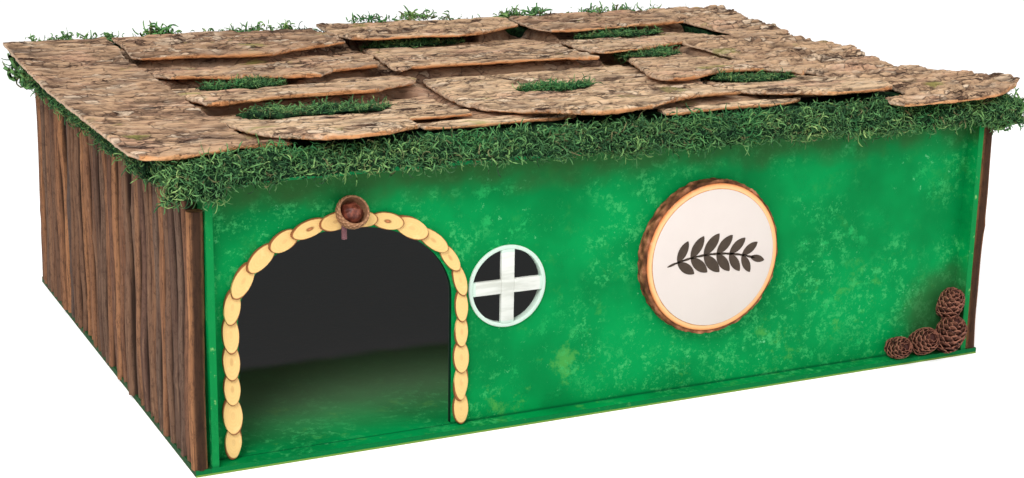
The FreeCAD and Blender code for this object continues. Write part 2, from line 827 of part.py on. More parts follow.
# The tufts of moss that show under the lips, each lying on a piece of bark
TUFTS = {
    "moss_tuft_left_front": ("bark_left_front", -0.62, 0.250, 0.20, 0.070),
    "moss_tuft_left_middle": ("bark_left_second", -0.67, 0.505, 0.12, 0.030),
    "moss_tuft_centre": ("bark_centre_front", 0.00, 0.255, 0.11, 0.032),
    "moss_tuft_rear": ("bark_centre_middle", 0.02, 0.855, 0.17, 0.030),
    "moss_tuft_right_front": ("bark_right_front", 0.55, 0.240, 0.13, 0.060),
    "moss_tuft_right_middle": ("bark_right_second", 0.53, 0.555, 0.11, 0.030),
    "moss_tuft_right_rear": ("bark_right_third", 0.64, 0.790, 0.16, 0.030),
}


def moss_tuft(name):
    """A low pad of moss that follows the bark it lies on."""
    carrier, u, v, half_u, half_v = TUFTS[name]
    layer = shingle(SHINGLES[carrier], tuft_height, bark_thickness)
    return layer.common(oval_prism(u, v, half_u, half_v, tuft_sides))


def all_pieces():
    """Every node's name and shape."""
    pieces = {
        "base_board": base_board(),
        "left_wall": side_wall(-1),
        "right_wall": side_wall(1),
        "front_panel": front_panel(),
        "back_panel": back_panel(),
        "roof_board": roof_board(),
        "roof_batten_left": roof_batten(-1),
        "roof_batten_right": roof_batten(1),
        "window_ring": window_ring(),
        "window_bar_upright": window_bar(True),
        "window_bar_cross": window_bar(False),
        "sign_slice": sign_slice(),
        "sign_bark": sign_bark(),
        "sign_face": sign_face(),
        "acorn_cap": acorn_cap(),
        "acorn_nut": acorn_nut(),
        "acorn_stem": acorn_stem(),
        "moss_front": moss_eave(-1),
        "moss_rear": moss_eave(1),
        "moss_left": moss_side(-1),
        "moss_right": moss_side(1),
    }
    total = trim_length()
    pieces["left_jamb_slices"] = slice_group(0, door_spring)
    pieces["arch_slices"] = slice_group(door_spring, total - door_spring)
    pieces["right_jamb_slices"] = slice_group(total - door_spring, total)
    for name, solid in placed_cones().items():
        pieces["pine_cone_" + name] = solid
    for side, word in ((-1, "left"), (1, "right")):
        for number, place in enumerate(("front", "middle", "rear")):
            pieces["twigs_" + word + "_" + place] = twig_group(side, number)
    for name in SHINGLES:
        pieces[name] = bark_shingle(name)
    for name in STRIPS:
        pieces[name] = bark_strip(name)
    for name in SIDES:
        pieces[name] = bark_side(name)
    for name in TUFTS:
        pieces[name] = moss_tuft(name)
    return pieces


def main():
    os.makedirs("parts", exist_ok=True)
    for name, shape in all_pieces().items():
        print(name, len(shape.Solids), "solids", round(shape.Volume / 1000, 1), "cm3",
              "valid" if shape.isValid() else "NOT VALID")
        shape.exportStep("parts/" + name + ".step")


main()
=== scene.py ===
# %% [markdown]
# # A hedgehog house
# This lesson dresses the construction model of a small animal house: a low plywood box painted
# green, clad with twigs, roofed with overlapping bark on a bed of moss. The construction model
# is loaded first. Its boards stay as they are and only get a finish. Everything that grew, such
# as bark, moss, twigs, cones and slices of branch, is modelled anew in the same place.

# %% Load the construction model
import math
import random

import bmesh
import bpy
import numpy as np
from mathutils import Matrix, Vector, noise
from mathutils.bvhtree import BVHTree


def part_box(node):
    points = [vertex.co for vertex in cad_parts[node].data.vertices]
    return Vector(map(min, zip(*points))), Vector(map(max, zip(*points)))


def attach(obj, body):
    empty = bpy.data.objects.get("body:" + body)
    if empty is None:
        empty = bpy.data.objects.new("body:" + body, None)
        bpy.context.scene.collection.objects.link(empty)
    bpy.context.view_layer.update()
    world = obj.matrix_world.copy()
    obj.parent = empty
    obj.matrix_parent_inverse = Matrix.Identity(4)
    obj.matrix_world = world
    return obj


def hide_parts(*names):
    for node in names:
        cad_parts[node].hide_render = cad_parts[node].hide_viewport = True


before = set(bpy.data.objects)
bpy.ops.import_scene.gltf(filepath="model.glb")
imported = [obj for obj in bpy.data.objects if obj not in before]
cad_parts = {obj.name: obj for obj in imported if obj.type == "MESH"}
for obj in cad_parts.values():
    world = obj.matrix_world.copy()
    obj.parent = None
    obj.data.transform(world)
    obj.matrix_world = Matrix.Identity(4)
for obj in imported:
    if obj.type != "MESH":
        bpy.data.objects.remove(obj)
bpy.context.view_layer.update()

# %% [markdown]
# ## Landmarks
# All new pieces find their place from the boxes of the boards, so a change of the model moves
# them too. Only what a box can't tell, such as the shape of the doorway, is written here, in
# metres.

# %% Landmarks of the house
millimetre = 0.001
floor_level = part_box("base_board")[1].z
roof_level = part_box("roof_board")[1].z
panel_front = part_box("front_panel")[0].y
panel_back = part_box("front_panel")[1].y
wall_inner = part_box("front_panel")[1].x
wall_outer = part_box("right_wall")[1].x
front_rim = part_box("right_wall")[0].y
rear_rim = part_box("right_wall")[1].y
door_middle = (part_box("left_jamb_slices")[0].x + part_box("right_jamb_slices")[1].x) / 2
door_width = 130 * millimetre
door_spring = 80 * millimetre
door_rise = 48 * millimetre
print("doorway middle:", door_middle, "panel front:", panel_front)

# %% [markdown]
# ## Shader maths as plain expressions
# A finish is a tree of shader nodes. Wiring each node by hand hides what is meant, so a socket
# is wrapped in a small class: adding or multiplying two wrapped sockets adds the Math node that
# does it. Any other node comes from one method, which takes its settings and its inputs.

# %% A socket that can be calculated with
def operator_of(operation, swapped=False):
    """A method that adds one Math node for an operator."""
    def method(self, other):
        pair = (other, self) if swapped else (self, other)
        return self.finish.node("Math", {"operation": operation}, {0: pair[0], 1: pair[1]})
    return method


class Value:
    """One output socket of a finish, ready for arithmetic."""

    def __init__(self, finish, socket):
        self.finish = finish
        self.socket = socket

    __add__ = operator_of("ADD")
    __radd__ = operator_of("ADD", True)
    __sub__ = operator_of("SUBTRACT")
    __rsub__ = operator_of("SUBTRACT", True)
    __mul__ = operator_of("MULTIPLY")
    __rmul__ = operator_of("MULTIPLY", True)
    __gt__ = operator_of("GREATER_THAN")
    __lt__ = operator_of("LESS_THAN")


# %% A finish under construction
def screen(red, green, blue):
    """A colour as a screen shows it, 0 to 255, as the linear colour that shaders use."""
    return tuple(((level / 255 + 0.055) / 1.055) ** 2.4 if level > 10 else level / 3295
                 for level in (red, green, blue)) + (1.0,)


class Finish:
    """A material and its node tree."""

    def __init__(self, name, roughness=0.8, shine=0.15, **plain):
        self.material = bpy.data.materials.new(name)
        self.material.use_nodes = True
        self.tree = self.material.node_tree
        self.shader = self.tree.nodes["Principled BSDF"]
        self.place = self.node("TexCoord", output="Object")
        self.set(Roughness=roughness, Specular_IOR_Level=shine, **plain)

    def node(self, kind, settings=None, sockets=None, output=0):
        """Add a node: its settings first, then the values or links of its sockets."""
        made = self.tree.nodes.new("ShaderNode" + kind)
        for key, value in (settings or {}).items():
            if key == "stops":
                self.fill_ramp(made.color_ramp, value)
            else:
                setattr(made, key, value)
        for key, value in (sockets or {}).items():
            self.feed(made.inputs[key], value)
        return Value(self, made.outputs[output])

    def fill_ramp(self, ramp, stops):
        """Give a colour ramp its stops, from pairs of position and colour."""
        while len(ramp.elements) < len(stops):
            ramp.elements.new(1.0)
        for element, (position, colour) in zip(ramp.elements, stops):
            element.position = position
            element.color = colour

    def feed(self, socket, value):
        """Link a value to a socket, or write a constant into it."""
        if isinstance(value, Value):
            self.tree.links.new(value.socket, socket)
        else:
            socket.default_value = value

    def set(self, **sockets):
        """Set the shader's own sockets. A two-word name is written with an underscore."""
        for key, value in sockets.items():
            self.feed(self.shader.inputs[key.replace("_", " ")], value)

    def stretch(self, scale):
        """The place on the piece, with each axis scaled by its own factor."""
        return self.node("Mapping", {}, {"Vector": self.place, "Scale": scale})

    def cloud(self, scale, detail=4.0, roughness=0.55, place=None, distortion=0.0):
        """Soft noise from 0 to 1. Scale counts the lumps in a metre."""
        return self.node("TexNoise", {}, {"Vector": place or self.place, "Scale": scale,
                                          "Detail": detail, "Roughness": roughness,
                                          "Distortion": distortion})

    def step(self, value, low, high):
        """0 below low, 1 above high, and a smooth rise between them."""
        return self.node("MapRange", {"interpolation_type": "SMOOTHSTEP"},
                         {"Value": value, "From Min": low, "From Max": high})

    def cells(self, scale, stretch, warp, feature="DISTANCE_TO_EDGE", output="Distance"):
        """Crooked cells like those of cracked bark: how far each place is from its cell's edge."""
        swirl = self.node("TexNoise", {}, {"Vector": self.place, "Scale": scale * 0.7,
                                           "Detail": 3.0}, "Color")
        bent = self.node("VectorMath", {"operation": "MULTIPLY_ADD"},
                         {0: swirl, 1: (warp, warp, warp), 2: self.place})
        drawn = self.node("VectorMath", {"operation": "MULTIPLY"}, {0: bent, 1: stretch})
        return self.node("TexVoronoi", {"feature": feature}, {"Vector": drawn, "Scale": scale},
                         output)

    def ramp(self, value, *stops):
        """A colour for each value, from pairs of position and colour."""
        return self.node("ValToRGB", {"stops": stops}, {"Fac": value})

    def mix(self, first, second, share):
        """The first colour at share 0 and the second one at share 1."""
        return self.node("Mix", {"data_type": "RGBA"}, {0: share, 6: first, 7: second}, 2)

    def axis(self, name):
        """One coordinate of the place on the piece."""
        return self.node("SeparateXYZ", {}, {0: self.place}, name)

    def off_centre(self, name):
        """How far the place is from the middle of the house along one axis."""
        return self.node("Math", {"operation": "ABSOLUTE"}, {0: self.axis(name)})

    def distance(self, point, scale=(1.0, 1.0, 1.0)):
        """How far the place on the piece is from a point, with each axis counted by a factor."""
        gap = self.node("VectorMath", {"operation": "SUBTRACT"}, {0: self.place, 1: point})
        counted = self.node("VectorMath", {"operation": "MULTIPLY"}, {0: gap, 1: scale})
        return self.node("VectorMath", {"operation": "LENGTH"}, {0: counted}, "Value")

    def attribute(self, name):
        """A number stored on the piece's own points."""
        return self.node("Attribute", {"attribute_name": name}, output="Fac")

    def bump(self, height, distance, strength=1.0):
        """Raise the surface by the height, where 1 stands for the distance in metres."""
        self.set(Normal=self.node("Bump", {}, {"Strength": strength, "Distance": distance,
                                               "Height": height}, "Normal"))


# %% [markdown]
# ## From mesh to piece
# Each new piece is a bmesh until it is finished. Then it becomes an object at the origin with
# its place in its mesh, gets its finish, and is told which body of the model carries it: the
# house, or the roof that lifts off. Boards of the construction model stay as they are and only
# get a coat.

# %% Turning a mesh into a piece
def piece_of(name, shape, body, finish, replaced=(), crease=None):
    """Make a piece from a bmesh or a mesh. Edges sharper than crease degrees stay sharp."""
    mesh = shape
    if isinstance(shape, bmesh.types.BMesh):
        mesh = bpy.data.meshes.new(name)
        shape.to_mesh(mesh)
        shape.free()
    mesh.name = name
    mesh.shade_smooth()
    if crease is not None:
        mesh.set_sharp_from_angle(angle=math.radians(crease))
    mesh.materials.clear()
    mesh.materials.append(finish.material)
    piece = bpy.data.objects.new(name, mesh)
    bpy.context.scene.collection.objects.link(piece)
    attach(piece, body)
    if replaced:
        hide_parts(*replaced)
    return piece


def coat(names, finish):
    """Give construction nodes that stay as they are their finish."""
    for name in names:
        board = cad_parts[name]
        board.data.materials.clear()
        board.data.materials.append(finish.material)


def store(mesh, name, values):
    """Keep one number for each point of a mesh, for its finish to read."""
    attribute = mesh.attributes.new(name, "FLOAT", "POINT")
    attribute.data.foreach_set("value", np.asarray(values, np.float32))


def as_mesh(bm, name="part"):
    """The mesh of a bmesh, which is freed."""
    mesh = bpy.data.meshes.new(name)
    bm.to_mesh(mesh)
    bm.free()
    return mesh


def welded(node):
    """A copy of a construction node with its loose triangles joined, as a bmesh."""
    bm = bmesh.new()
    bm.from_mesh(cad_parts[node].data)
    bmesh.ops.remove_doubles(bm, verts=bm.verts, dist=0.01 * millimetre)
    return bm


def remeshed(bm, voxel):
    """The closed shape of a bmesh as an even skin of small squares."""
    raw = bpy.data.objects.new("raw", as_mesh(bm))
    bpy.context.scene.collection.objects.link(raw)
    voxels = raw.modifiers.new("voxels", "REMESH")
    voxels.mode = "VOXEL"
    voxels.voxel_size = voxel
    skin = bpy.data.meshes.new_from_object(
        raw.evaluated_get(bpy.context.evaluated_depsgraph_get()))
    rough = raw.data
    bpy.data.objects.remove(raw)
    bpy.data.meshes.remove(rough)
    return skin


def coordinates(mesh, what="co"):
    """All points of a mesh, or their normals, as an array with a row for each."""
    flat = np.zeros(len(mesh.vertices) * 3, np.float32)
    if what == "co":
        mesh.vertices.foreach_get("co", flat)
    else:
        mesh.vertex_normals.foreach_get("vector", flat)
    return flat.reshape(-1, 3)


def move_points(mesh, points):
    """Put all points of a mesh at new places."""
    mesh.vertices.foreach_set("co", np.asarray(points, np.float32).ravel())
    mesh.update()


def smooth_rise(value, low, high):
    """0 below low, 1 above high, and a smooth rise between them."""
    share = np.clip((value - low) / (high - low), 0.0, 1.0)
    return share * share * (3 - 2 * share)


# %% [markdown]
# ## Green paint
# The boards are thin plywood, painted with a sponge: an even green with paler, slightly yellow
# dabs over it. Olive painted shade lies below the moss and round the cones, darker green painted
# shade fills the corner where the panel meets the base, and the base under the twigs is darkened
# as painted shade. The base's lowest edge is rubbed to a yellow-green line. The chamber behind
# the panel is nearly black, apart from the front of its floor, and a faint painted glow lifts it
# from black. One finish does it all, because the inner faces of the walls belong to the same
# boards: the place on the board decides which paint shows.

# %% Green paint
green = Finish("green_paint", roughness=0.55, shine=0.06)
wash = green.step(green.cloud(16.0, detail=3.0), 0.35, 0.65)
dabs = green.step(green.cloud(80.0, detail=9.0, roughness=0.78), 0.54, 0.63)
dabs_patches = green.step(green.cloud(14.0, detail=4.0), 0.42, 0.56)
specks = green.step(green.cloud(240.0, detail=4.0, roughness=0.75), 0.63, 0.72)
yellow = green.step(green.cloud(42.0, detail=8.0, roughness=0.75), 0.56, 0.68)
low_down = 1.0 - green.step(green.axis("Z"), 0.02, 0.10)
paint = green.mix(screen(0, 126, 62), screen(0, 150, 76), wash)
paint = green.mix(paint, screen(36, 172, 92), dabs * dabs_patches * 0.85)
paint = green.mix(paint, screen(84, 168, 76), yellow * (0.12 + low_down * 0.55))
sponge = green.step(green.cloud(150.0, detail=10.0, roughness=0.8), 0.52, 0.60)
sponge_patches = green.step(green.cloud(11.0, detail=4.0) + low_down * 0.06, 0.46, 0.58)
paint = green.mix(paint, screen(66, 182, 104), sponge * sponge_patches * 0.75)
paint = green.mix(paint, screen(120, 212, 150), specks * dabs_patches * 0.75)

moss_line = 156 * millimetre
cones_at = (wall_inner - 10 * millimetre, panel_front, floor_level + 24 * millimetre)
height = green.axis("Z")
ragged = (green.cloud(45.0, detail=3.0) - 0.5) * 0.03
# Painted shade: olive below the moss fringe and round the cones, for the shade they cast on the
# panel.
shade_under_moss = green.step(height + ragged, moss_line - 0.016, moss_line + 0.004)
shade_by_cones = 1.0 - green.step(green.distance(cones_at) + ragged, 0.016, 0.044)
paint = green.mix(paint, screen(56, 92, 48), shade_under_moss * 0.75)
paint = green.mix(paint, screen(56, 78, 44), shade_by_cones * 0.65)

depth = green.axis("Y")
sideways = green.off_centre("X")
film = 0.3 * millimetre
rims = 1.0 - green.step(depth, front_rim + film, front_rim + 2 * film)
worn = green.step(green.cloud(130.0, detail=5.0, roughness=0.7), 0.6, 0.68)
paint = green.mix(paint, screen(14, 132, 66), rims * 0.9)
paint = green.mix(paint, screen(150, 200, 120), rims * worn * 0.6)
between = sideways < wall_inner + film
on_floor = height < floor_level + film
reveal = (depth > panel_front + film) * (depth < panel_back - film) * between * (1.0 - on_floor)
paint = green.mix(paint, screen(16, 44, 30), reveal)
gloomiest = -100 * millimetre
gloom = green.step(depth, panel_front, gloomiest) * (depth < -panel_front - film) * between
paint = green.mix(paint, screen(112, 138, 104), gloom * on_floor * 0.8)
behind = ((depth > panel_back - film) * (depth < -panel_back + film) * between
          * (height > 2 * film))
green_ends = -55 * millimetre
fade = 9 * millimetre
far_floor = green.step(depth + ragged * 0.4, green_ends - fade, green_ends + fade)
inside = behind * (1.0 - on_floor * (1.0 - far_floor))
paint = green.mix(paint, screen(66, 60, 62), inside)
# Painted shade: a darker green on the panel's foot and on the floor just in front of it, for the
# shade in the corner where they meet.
corner_shade_reach = 2.2 * millimetre
outdoors = depth < panel_front + film
foot = (1.0 - green.step(height, floor_level, floor_level + corner_shade_reach)) * outdoors
before = green.step(depth, panel_front - corner_shade_reach, panel_front) * outdoors
paint = green.mix(paint, screen(0, 84, 44), foot * (height > floor_level + film * 0.5) * 0.7)
paint = green.mix(paint, screen(0, 84, 44), before * on_floor * 0.7)
# Painted shade: the base board under the twigs is darkened, as the sticks shade it.
shade_under_twigs = on_floor * (sideways > wall_outer + film)
paint = green.mix(paint, screen(38, 58, 34), shade_under_twigs * 0.85)
edge_face = on_floor * (depth < front_rim + film)
paint = green.mix(paint, screen(4, 112, 58), edge_face * 0.8)
rubbed = 1.2 * millimetre
paint = green.mix(paint, screen(126, 158, 66), edge_face * (height < rubbed) * 0.8)
bare = height < film * 0.3
paint = green.mix(paint, screen(196, 160, 112), bare)
# Painted light: a faint glow in the chamber, which has no lamp, lifts its nearly black inside to
# dark grey.
painted_glow = (0.022, 0.023, 0.023, 1.0)
green.set(Base_Color=paint, Emission_Strength=1.0,
          Emission_Color=green.mix((0.0, 0.0, 0.0, 1.0), painted_glow, inside))
green.bump(green.cloud(150.0, detail=6.0, roughness=0.6) + dabs * 0.5, 0.35 * millimetre, 0.6)
coat(("base_board", "left_wall", "right_wall", "front_panel", "back_panel"), green)

# %% [markdown]
# ## Bare softwood
# The roof board and its two battens are seen only from below or with the roof lifted. They are
# bare wood: long fibres along X, with broad bands of early and late wood. The board's top, which
# shows in the gaps between the bark, is stained brown, and its edges are green like the walls.

# %% Bare softwood
softwood = Finish("bare_softwood", roughness=0.7)
fibres = softwood.cloud(6.0, detail=6.0, place=softwood.stretch((3.0, 60.0, 60.0)))
bands = softwood.node("TexWave", {"wave_type": "BANDS", "bands_direction": "Y"},
                      {"Vector": softwood.stretch((0.4, 1.0, 1.0)), "Scale": 26.0,
                       "Distortion": 5.0, "Detail": 3.0, "Detail Scale": 1.5})
wood = softwood.mix(screen(206, 170, 122), screen(168, 124, 80), fibres * 0.6 + bands * 0.3)
stained = softwood.mix(screen(132, 98, 74), screen(84, 60, 46), softwood.step(fibres, 0.4, 0.6))
wood = softwood.mix(wood, stained, softwood.axis("Z") > roof_level - film)
edges = ((softwood.off_centre("X") > wall_outer - film)
         + (softwood.off_centre("Y") > rear_rim - film))
wood = softwood.mix(wood, screen(20, 150, 82), edges)
softwood.set(Base_Color=wood)
softwood.bump(fibres, 0.2 * millimetre, 0.5)
coat(("roof_board", "roof_batten_left", "roof_batten_right"), softwood)

# %% [markdown]
# ## The window
# A ring and a cross in thick white paint, with brush marks. The construction pieces have the
# right shape but razor-sharp edges, so each is copied, its flat faces are joined up again and
# its edges get a small round bevel.

# %% White paint and the window
white = Finish("white_paint", roughness=0.45)
strokes = white.cloud(30.0, detail=5.0, place=white.stretch((1.0, 1.0, 6.0)))
ring_low, ring_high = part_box("window_ring")
from_middle = white.distance((ring_low + ring_high) / 2, (1, 0, 1))
on_ring = from_middle > 0.42 * (ring_high.x - ring_low.x)
plain = white.mix(screen(204, 206, 196), screen(228, 229, 222), white.step(strokes, 0.35, 0.6))
white.set(Base_Color=white.mix(plain, screen(206, 226, 212), on_ring))
white.bump(strokes, 0.25 * millimetre, 0.6)


def softened(node, width):
    """A copy of a construction node with its hard edges rounded."""
    bm = welded(node)
    bmesh.ops.dissolve_limit(bm, angle_limit=math.radians(2), verts=bm.verts, edges=bm.edges)
    hard = [edge for edge in bm.edges if edge.calc_face_angle(0) > math.radians(40)]
    bmesh.ops.bevel(bm, geom=hard, offset=width, offset_type="OFFSET", segments=2,
                    profile=0.5, affect="EDGES", clamp_overlap=True, material=-1)
    return bm


for name in ("window_ring", "window_bar_upright", "window_bar_cross"):
    piece_of("painted_" + name, softened(name, 0.35 * millimetre), "house", white,
             [name], crease=35)

# %% [markdown]
# ## Twigs
# The side walls are clad with straight sticks, cut to length and glued side by side. Each
# stick is a tall cylinder: it is made as a cone of few sides, cut into short lengths, and then
# every ring of it is moved onto the stick's own bent, tapering axis. Slow noise along the
# stick gives the lengthwise ridges of shrunken bark, and a few swellings stand for buds. Each
# stick keeps a random tone, so the finish can colour it apart from its neighbours.

# %% Where the sticks stand
def solids_of(node):
    """The separate solids of a node: for each one, its rings of points from the foot up."""
    bm = welded(node)
    unseen = set(bm.verts)
    found = []
    while unseen:
        queue = [unseen.pop()]
        rings = {}
        while queue:
            vert = queue.pop()
            rings.setdefault(round(vert.co.z, 5), []).append(vert.co.copy())
            for edge in vert.link_edges:
                other = edge.other_vert(vert)
                if other in unseen:
                    unseen.remove(other)
                    queue.append(other)
        levels = []
        for level in sorted(rings):
            centre = sum(rings[level], Vector()) / len(rings[level])
            levels.append((centre, (rings[level][0] - centre).length))
        found.append(levels)
    bm.free()
    return sorted(found, key=lambda levels: levels[0][0].y)


def along_axis(levels, share):
    """The middle and the radius of a stick at a share of its height."""
    span = levels[-1][0].z - levels[0][0].z
    height = levels[0][0].z + share * span
    for (low, low_radius), (high, high_radius) in zip(levels, levels[1:]):
        if height <= high.z or high is levels[-1][0]:
            part = (height - low.z) / (high.z - low.z)
            return low.lerp(high, part), low_radius + (high_radius - low_radius) * part


# %% One stick
stick_sides = 14
stick_lengths = 26


def stick(levels, chance):
    """A stick along its own axis, and how far each of its points faces its neighbours."""
    bm = bmesh.new()
    bmesh.ops.create_cone(bm, cap_ends=True, segments=stick_sides, radius1=1, radius2=1,
                          depth=1, matrix=Matrix.Translation((0, 0, 0.5)))
    upright = [edge for edge in bm.edges
               if abs(edge.verts[0].co.z - edge.verts[1].co.z) > 0.5]
    bmesh.ops.subdivide_edges(bm, edges=upright, cuts=stick_lengths)
    own = chance.uniform(0, 100)
    folds = chance.uniform(1.6, 3.6)
    girth = chance.uniform(0.86, 1.04)
    foot = chance.uniform(0.3, 2.6) * millimetre
    facing = []
    buds = [(chance.uniform(0.1, 0.9), chance.uniform(0, 2 * math.pi)) for _ in range(3)]
    for vert in bm.verts:
        turn = math.atan2(vert.co.y, vert.co.x)
        share = vert.co.z
        facing.append(abs(vert.co.y))
        centre, radius = along_axis(levels, share)
        ridge = noise.noise(Vector((folds * vert.co.x, folds * vert.co.y, 1.6 * share + own)))
        swell = noise.noise(Vector((own, 0, 6 * share)))
        bud = sum(math.exp(-((share - at) / 0.018) ** 2 - (1 - math.cos(turn - way)) * 4)
                  for at, way in buds)
        wide = girth * radius * (1 + 0.17 * ridge + 0.07 * swell + 0.16 * bud)
        sway = Vector((noise.noise(Vector((own + 7, 0, 2.4 * share))),
                       noise.noise(Vector((own + 9, 0, 2.4 * share))), 0)) * 2.4 * millimetre
        vert.co = centre + sway + Vector((wide * math.cos(turn), wide * math.sin(turn), 0))
        if share < 0.01:
            vert.co.z -= foot * (0.6 + 0.8 * noise.noise(Vector((turn, own, 0))))
    return as_mesh(bm), facing


# %% [markdown]
# The bark on the sticks is dry and matt, in browns from grey to red. The tone of the stick
# picks the brown, and noise drawn out along Z makes the streaks and the darker grooves between
# them. Fine scurf roughens the surface, and the sides that face the neighbouring sticks are
# darkened as painted shade in the gaps between them.

# %% The sticks' bark
twig_bark = Finish("twig_bark", roughness=0.85)
tone = twig_bark.attribute("tone")
streaks = twig_bark.cloud(10.0, detail=6.0, roughness=0.7,
                          place=twig_bark.stretch((60.0, 60.0, 2.0)))
threads = twig_bark.cloud(10.0, detail=4.0, roughness=0.7,
                          place=twig_bark.stretch((150.0, 150.0, 6.0)))
patches = twig_bark.cloud(30.0, detail=4.0, place=twig_bark.stretch((1.0, 1.0, 0.35)))
flecks = twig_bark.step(twig_bark.cloud(200.0, detail=5.0, roughness=0.7), 0.66, 0.76)
brown = twig_bark.ramp(tone, (0.0, screen(84, 78, 76)), (0.06, screen(104, 80, 66)),
                       (0.25, screen(132, 96, 72)), (0.42, screen(112, 90, 76)),
                       (0.60, screen(172, 120, 82)), (0.78, screen(118, 84, 66)),
                       (0.90, screen(104, 82, 72)), (0.95, screen(126, 104, 76)),
                       (1.0, screen(186, 126, 84)))
groove = 1.0 - twig_bark.step(streaks, 0.32, 0.52)
brown = twig_bark.mix(brown, screen(64, 42, 34), groove * 0.75)
brown = twig_bark.mix(brown, screen(190, 148, 114), twig_bark.step(streaks, 0.56, 0.76) * 0.55)
brown = twig_bark.mix(brown, screen(96, 66, 54), twig_bark.step(patches, 0.5, 0.75) * 0.4)
brown = twig_bark.mix(brown, screen(74, 50, 42), (1.0 - twig_bark.step(threads, 0.3, 0.5)) * 0.5)
brown = twig_bark.mix(brown, screen(190, 156, 126), flecks * 0.4)
scurf = twig_bark.cloud(330.0, detail=6.0, roughness=0.8,
                         place=twig_bark.stretch((1.0, 1.0, 0.5)))
brown = twig_bark.mix(brown, screen(54, 36, 30), twig_bark.step(scurf, 0.50, 0.60) * 0.45)
# Painted shade: the sides of a stick that face its neighbours are darkened, for the shade in the
# gaps between the sticks.
shade_between_sticks = twig_bark.step(twig_bark.attribute("facing"), 0.55, 0.95)
brown = twig_bark.mix(brown, screen(36, 24, 20), shade_between_sticks * 0.9)
twig_bark.set(Base_Color=brown)
twig_bark.bump(streaks + threads * 0.5 + patches * 0.4 + scurf * 0.4, 0.7 * millimetre, 0.9)

# %% All the sticks
for side in ("left", "right"):
    for place in ("front", "middle", "rear"):
        node = f"twigs_{side}_{place}"
        chance = random.Random(node)
        bundle = bmesh.new()
        tones = []
        facings = []
        sticks = solids_of(node)
        first = sticks[0]
        for levels in sticks:
            mesh, facing = stick(levels, chance)
            facings += facing
            own = 0.95 * chance.random()
            if place == "front" and levels is first:
                own = 0.60 if side == "left" else 1.0
            tones += [own] * len(mesh.vertices)
            bundle.from_mesh(mesh)
            bpy.data.meshes.remove(mesh)
        bundle = as_mesh(bundle)
        store(bundle, "tone", tones)
        store(bundle, "facing", facings)
        piece_of(f"sticks_{side}_{place}", bundle, "house", twig_bark, [node],
                 crease=50)
        print(node, len(bundle.polygons), "faces")

# %% [markdown]
# ## The trim of the doorway
# Thin oval slices, cut slantwise from a branch, run up both sides of the doorway and over its
# crown, and each one laps over the end of the one below it. The middle line of the trim is two
# straight legs and half an ellipse between them, and the slices are set along it by length.
# Each is a flat oval with rounded edges, tipped up where it rests on its neighbour. Those of
# the right leg come from a thinner branch.

# %% The middle line of the trim
slice_across = 11 * millimetre
slice_length = 20.5 * millimetre
slice_thick = 2.5 * millimetre
slice_pitch = 15.6 * millimetre
slice_overhang = 0.3 * millimetre


def trim_line():
    """Points along the trim with the length run so far, from the left foot to the right one."""
    half = door_width / 2 + slice_across / 2 - slice_overhang
    rise = door_rise + slice_across / 2 - slice_overhang
    spring = floor_level + door_spring
    points = [Vector((door_middle - half, panel_front, floor_level))]
    for step in range(401):
        turn = math.pi * (1 - step / 400)
        points.append(Vector((door_middle + half * math.cos(turn), panel_front,
                              spring + rise * math.sin(turn))))
    points.append(Vector((door_middle + half, panel_front, floor_level)))
    runs = [0.0]
    for here, there in zip(points, points[1:]):
        runs.append(runs[-1] + (there - here).length)
    return points, runs


def on_trim(points, runs, run):
    """The place and the direction on the trim at a run from the left foot."""
    index = min(max(np.searchsorted(runs, run), 1), len(runs) - 1)
    here, there = points[index - 1], points[index]
    share = (run - runs[index - 1]) / (runs[index] - runs[index - 1])
    return here.lerp(there, share), (there - here).normalized()


# %% One slice
def branch_slice(centre, way, lean, width, chance):
    """An oval slice on the panel, its long side along the way, its lower end tipped up."""
    bm = bmesh.new()
    bmesh.ops.create_circle(bm, cap_ends=True, segments=28, radius=1)
    long_half = slice_length / 2 * chance.uniform(0.93, 1.12)
    short_half = width / 2 * chance.uniform(0.86, 1.08)
    skew = chance.uniform(-0.16, 0.16)
    for vert in bm.verts:
        wobble = 1 + 0.03 * noise.noise(Vector((2 * vert.co.x, 2 * vert.co.y, 50 * centre.x)))
        vert.co = Vector((long_half * vert.co.x * wobble,
                          short_half * (vert.co.y + skew * vert.co.x) * wobble, 0))
    raised = bmesh.ops.extrude_face_region(bm, geom=bm.faces[:])
    top = [item for item in raised["geom"] if isinstance(item, bmesh.types.BMVert)]
    bmesh.ops.translate(bm, verts=top, vec=(0, 0, slice_thick))
    bmesh.ops.recalc_face_normals(bm, faces=bm.faces)
    rim = [edge for edge in bm.edges if edge.calc_face_angle(0) > math.radians(60)]
    bmesh.ops.bevel(bm, geom=rim, offset=0.5 * millimetre, offset_type="OFFSET", segments=2,
                    profile=0.5, affect="EDGES", clamp_overlap=True, material=-1)
    caps = [face for face in bm.faces if len(face.verts) > 4]
    bmesh.ops.inset_region(bm, faces=caps, thickness=0.9 * millimetre, depth=0)
    bmesh.ops.poke(bm, faces=caps)
    outward = Vector((0, -1, 0))
    across = outward.cross(way).normalized()
    turn = Matrix((way, across, outward)).transposed().to_4x4()
    tip = Matrix.Rotation(lean + chance.uniform(-0.02, 0.02), 4, "Y")
    lift = Matrix.Translation((0, 0, abs(math.sin(lean)) * slice_length * 0.42))
    spin = Matrix.Rotation(chance.uniform(-0.12, 0.12), 4, "Z")
    bmesh.ops.transform(bm, matrix=Matrix.Translation(centre) @ turn @ lift @ tip @ spin,
                        verts=bm.verts)
    return bm


# %% [markdown]
# The cut face is cream with faint rings. Two slices show the brown pith, the others a trace.
# The bark is a thin brown line round the edge. Each slice stores how far its points lie from
# its own middle, which gives rings, pith and bark in one go, whichever way the slice is turned.

